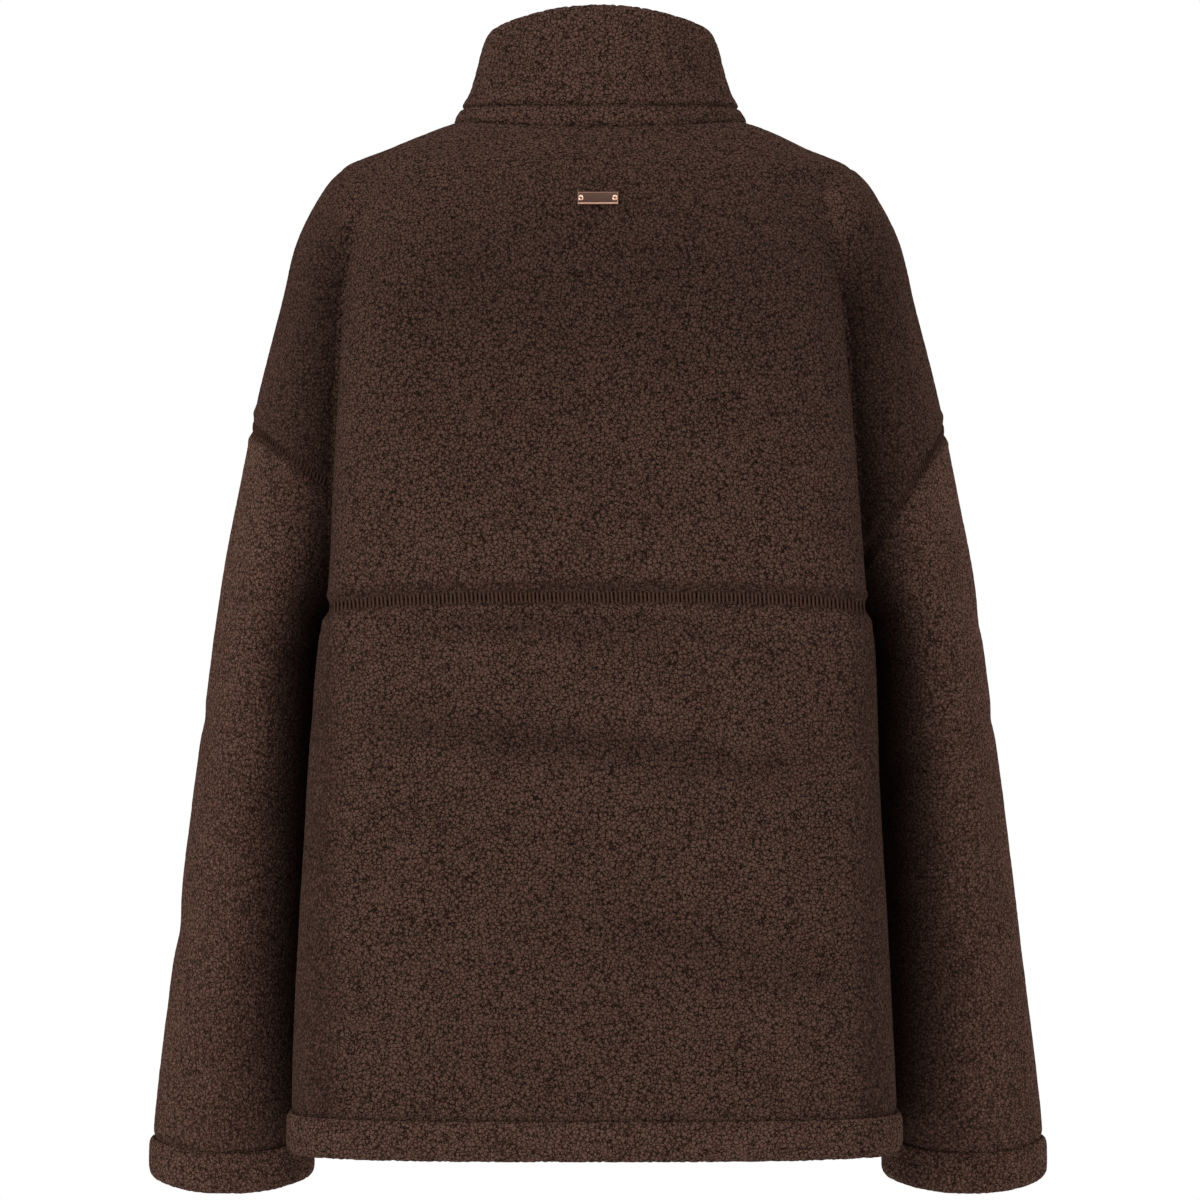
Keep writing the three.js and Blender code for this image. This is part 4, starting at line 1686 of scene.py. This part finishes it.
@dataclass
class Stitching:
    """Flatlock threads: short thick rungs across each seam."""

    sides: int = 6
    radius: float = 0.74
    arm_radius: float = 0.6
    lean: float = 0.25
    lift: float = 0.95
    arm_lift: float = 0.6
    arm_half: float = 3.2
    arm_up: float = 1.4
    half_row: float = 170.0
    seed: int = 7

    def tube(self, line: np.ndarray, radius: float) -> tuple:
        """A thread along points.

        Args:
            line (np.ndarray): Points.
            radius (float): Thread radius.

        Returns:
            tuple: Points and faces.
        """
        along = np.gradient(line, axis=0)
        along /= np.maximum(np.linalg.norm(along, axis=1, keepdims=True), 1e-9)
        start = np.array([0.0, 1.0, 0.0]) if abs(along[:, 1]).mean() < 0.8 else np.array([1.0, 0.0, 0.0])
        u = np.cross(along, start)
        u /= np.linalg.norm(u, axis=1, keepdims=True)
        v = np.cross(along, u)
        a = np.arange(self.sides) * 2 * np.pi / self.sides
        taper = np.ones(len(line))
        taper[[0, -1]] = 0.4
        ring = line[:, None] + radius * taper[:, None, None] * (
            u[:, None] * np.cos(a)[None, :, None] + v[:, None] * np.sin(a)[None, :, None]
        )
        n, m = len(line), self.sides
        quads = Maker.grid(n, m, False, True)
        ends = np.array([list(range(m)), list(range(n * m - 1, (n - 1) * m - 1, -1))])
        return ring.reshape(-1, 3), quads, ends

    def bundle(self, name: str, lines: list) -> bpy.types.Object:
        """Many threads as one piece.

        Args:
            name (str): Object name.
            lines (list): Pairs of points and radius.

        Returns:
            bpy.types.Object: The threads.
        """
        points, quads, ends, at = [], [], [], 0
        for line, radius in lines:
            p, q, e = self.tube(line, radius)
            points.append(p)
            quads.append(q + at)
            ends.append(e + at)
            at += len(p)
        return Maker.mesh(name, np.concatenate(points), [np.concatenate(quads), np.concatenate(ends)])

    def build(self) -> list:
        """Threads of the back seam and of both armholes.

        Returns:
            list: The pieces.
        """
        rng = np.random.default_rng(self.seed)
        torso, made = Torso(), []
        half = BACK_SEAM.band / 2
        xs = np.arange(-self.half_row, self.half_row + 0.1, BACK_SEAM.pitch)
        lines = []
        for x in xs:
            t = np.linspace(-1, 1, 6)
            lean = self.lean + rng.normal(0, 0.13)
            across = x + lean * t + rng.normal(0, 0.1)
            a, z = torso.place_at(across, back_seam(np.full(6, x)) + t * (half + rng.normal(0, 0.25)))
            lift = 0.1 + self.lift * (1 - t**2)
            p = torso.point(a, z, 0, True) + torso.normal(a, z) * lift[:, None]
            lines.append((p, self.radius))
        made.append(self.bundle("back_seam_threads", lines))
        for side in Side:
            arm, lines = Arm(side), []
            angle = np.linspace(-1.9, 1.9, 900)
            path = arm.point(angle, arm.seam_height(angle, 1.0), 0, True)
            keep = ~torso.holds(path, 4.0)
            run = np.concatenate([[0], np.cumsum(np.linalg.norm(np.diff(path, axis=0), axis=1))])
            shown = run[keep]
            stops = np.interp(np.arange(shown.min() + 2, shown.max() - 2, BACK_SEAM.pitch), run, angle)
            for a in stops:
                t = np.linspace(-1, 1, 5)
                around = a + (0.006 + rng.normal(0, 0.003)) * t
                z = arm.seam_height(around, 0.0) + self.arm_up + t * self.arm_half
                lift = self.arm_lift * (1 - t**2)
                p = arm.point(around, z, 0, True) + arm.normal(around, z) * lift[:, None]
                lines.append((p, self.arm_radius))
            made.append(self.bundle(f"armhole_threads_{side.name.lower()}", lines))
        return made

    def dress(self, back: bpy.types.Material, arm: bpy.types.Material, made: list) -> None:
        """Gives the threads their finish.

        Args:
            back (bpy.types.Material): The thread across the back.
            arm (bpy.types.Material): The thread at the armholes, a darker copy painted as shade of the
                armhole creases.
            made (list): The pieces.
        """
        for obj in made:
            finish = back if obj.name.startswith("back") else arm
            obj.data.attributes.remove(obj.data.attributes["skin"])
            obj.data.shade_smooth()
            obj.data.materials.append(finish)
            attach(obj, "root")


@dataclass
class Plate:
    """Bare metal plate on the upper back, with a thin raised rim and a rivet at each end."""

    width: float = 26.0
    height: float = 8.0
    z: float = -64.0
    thick: float = 1.2
    rim: float = 0.45
    lift: float = 0.5
    rivet: float = 1.15
    rivet_in: float = 2.3
    columns: int = 105
    rows: int = 37

    def build(self) -> bpy.types.Object:
        """Shapes the plate on the panel's own curve.

        Returns:
            bpy.types.Object: The plate.
        """
        gu, gv = np.meshgrid(np.linspace(-1, 1, self.columns), np.linspace(-1, 1, self.rows))
        x, z = gu * self.width / 2, self.z + gv * self.height / 2
        torso = Torso()
        a, ring = torso.place_at(x, z)
        base, n = torso.point(a, ring, 0, False), torso.normal(a, ring)
        edge = np.minimum((1 - np.abs(gu)) * self.width / 2, (1 - np.abs(gv)) * self.height / 2)
        from_rivet = np.hypot(np.abs(x) - self.width / 2 + self.rivet_in, z - self.z)
        rivet = bell((from_rivet - self.rivet) / 0.34)
        raised = np.maximum(0.4 * bell((edge - 0.5) / 0.26), rivet)
        round_off = 0.35 * bell(edge / 0.22) + 0.5 * bell(from_rivet / 0.6)
        top = self.lift + self.thick + self.rim * raised - round_off
        layers = [base + n * (self.lift + 0 * edge)[..., None], base + n * top[..., None]]
        rows, cols = gu.shape
        flat = Maker.grid(rows, cols, False, False)
        count = rows * cols
        i, j = np.arange(cols - 1), np.arange(rows - 1)
        last, right = (rows - 1) * cols, cols - 1
        edges = np.concatenate([
            np.stack([i, i + 1], 1), np.stack([last + i + 1, last + i], 1),
            np.stack([(j + 1) * cols, j * cols], 1), np.stack([j * cols + right, (j + 1) * cols + right], 1),
        ])
        walls = np.stack([edges[:, 0], edges[:, 1], count + edges[:, 1], count + edges[:, 0]], axis=1)
        points = np.concatenate([layer.reshape(-1, 3) for layer in layers])
        obj = Maker.closed("label_plate_metal", points, [flat, (count + flat)[:, ::-1], walls])
        tone = np.concatenate([np.full(count, 0.3), raised.ravel()]).astype(np.float32)
        obj.data.attributes.new("rim", "FLOAT", "POINT").data.foreach_set("value", tone)
        return obj

    def dress(self, finish: bpy.types.Material, obj: bpy.types.Object) -> None:
        """Gives the plate its finish.

        Args:
            finish (bpy.types.Material): The metal.
            obj (bpy.types.Object): The plate.
        """
        obj.data.attributes.remove(obj.data.attributes["skin"])
        shade_smooth(obj, 0.7)
        Piece(obj, finish, "label_plate", "plate")


@dataclass(frozen=True)
class Lamp:
    """A soft square light: its place and side in metres, and its power in watts."""

    name: str
    place: tuple
    size: float
    power_w: float


@dataclass(frozen=True)
class Studio:
    """Floor, soft lights and camera, in metres."""

    aim: tuple = (-0.0013, 0.0, -0.3177)
    distance: float = 3.1
    span: float = 0.786
    sensor_mm: float = 36.0
    floor_z: float = -1.15
    floor_radius: float = 2.8
    floor_sides: int = 96
    lamps: tuple = (
        Lamp("key", (2.3, 2.4, 0.5), 1.8, 190), Lamp("fill", (-2.4, 2.3, 0.1), 2.0, 90),
        Lamp("top", (0.1, 0.2, 2.1), 1.6, 80), Lamp("front_key", (-2.3, -2.4, 0.5), 1.8, 190),
        Lamp("front_fill", (2.4, -2.3, 0.1), 2.0, 90),
    )

    def floor(self) -> bpy.types.Object:
        """A round, plain, pale floor.

        Returns:
            bpy.types.Object: The floor.
        """
        a = np.arange(self.floor_sides) * 2 * np.pi / self.floor_sides
        ring = np.stack([np.cos(a), np.sin(a), 0 * a], axis=1) * self.floor_radius / MM
        ring[:, 2] = self.floor_z / MM
        obj = Maker.mesh("floor", ring, [np.arange(self.floor_sides)[None, :]])
        obj.data.materials.append(FloorFinish().make())
        return obj

    def light(self, lamp: Lamp) -> bpy.types.Object:
        """A soft square light that faces the garment.

        Args:
            lamp (Lamp): Its place, size and power.

        Returns:
            bpy.types.Object: The light.
        """
        data = bpy.data.lights.new(lamp.name, "AREA")
        data.size, data.energy = lamp.size, lamp.power_w
        obj = bpy.data.objects.new(lamp.name, data)
        bpy.context.scene.collection.objects.link(obj)
        obj.location = lamp.place
        away = obj.location - type(obj.location)(self.aim)
        obj.rotation_euler = away.to_track_quat("Z", "Y").to_euler()
        return obj

    def build(self) -> None:
        """Sets up the floor, the lights, the world and the camera."""
        scene = bpy.context.scene
        lights = [self.light(lamp) for lamp in self.lamps]
        world = bpy.data.worlds.new("studio")
        world.use_nodes = True
        world.node_tree.nodes["Background"].inputs[0].default_value = (1, 1, 1, 1)
        world.node_tree.nodes["Background"].inputs[1].default_value = 1.0
        scene.world = world
        scene.view_settings.view_transform = "Standard"
        scene.view_settings.look = "None"
        camera = bpy.data.objects.new("camera", bpy.data.cameras.new("camera"))
        scene.collection.objects.link(camera)
        camera.location = (self.aim[0], self.distance, self.aim[2])
        camera.rotation_euler = (np.pi / 2, 0, np.pi)
        camera.data.sensor_width = self.sensor_mm
        camera.data.lens = self.sensor_mm * self.distance / self.span
        camera.data.clip_end = 50
        scene.camera = camera
        self.floor()


def main() -> None:
    """Loads the frame, builds and dresses every sub-assembly, and sets the studio."""
    logging.basicConfig(level=logging.INFO, format="%(name)s %(message)s")
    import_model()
    detail = Detail.chosen()
    # Painted light: the sleeves and cuffs get a copy of the fleece 1.55 times lighter, the hem a copy 1.25
    # times lighter
    fleece, brushed = FleeceFinish("fleece").make(), FleeceFinish("sleeve_fleece", light=1.55).make()
    hem_fleece_painted_light = FleeceFinish("band_fleece", light=1.25).make()
    thread, metal = ThreadFinish().make(), MetalFinish().make()
    # Painted shade: the armhole thread is a darker copy of the back seam's thread, for the armhole creases
    painted_shade_arm_thread = ThreadFinish("painted_shade_arm_thread", (0.006, 0.003, 0.0021, 1), (0.022, 0.0115, 0.0083, 1)).make()
    shell, bands, collar = Shell(detail), Bands(detail), Collar(detail)
    stitching, plate = Stitching(), Plate()
    shell.dress(fleece, brushed, shell.build())
    bands.dress(hem_fleece_painted_light, brushed, bands.build())
    collar.dress(fleece, collar.build())
    stitching.dress(thread, painted_shade_arm_thread, stitching.build())
    plate.dress(metal, plate.build())
    Studio().build()
    LOG.info("built")


if __name__ == "__main__":
    main()
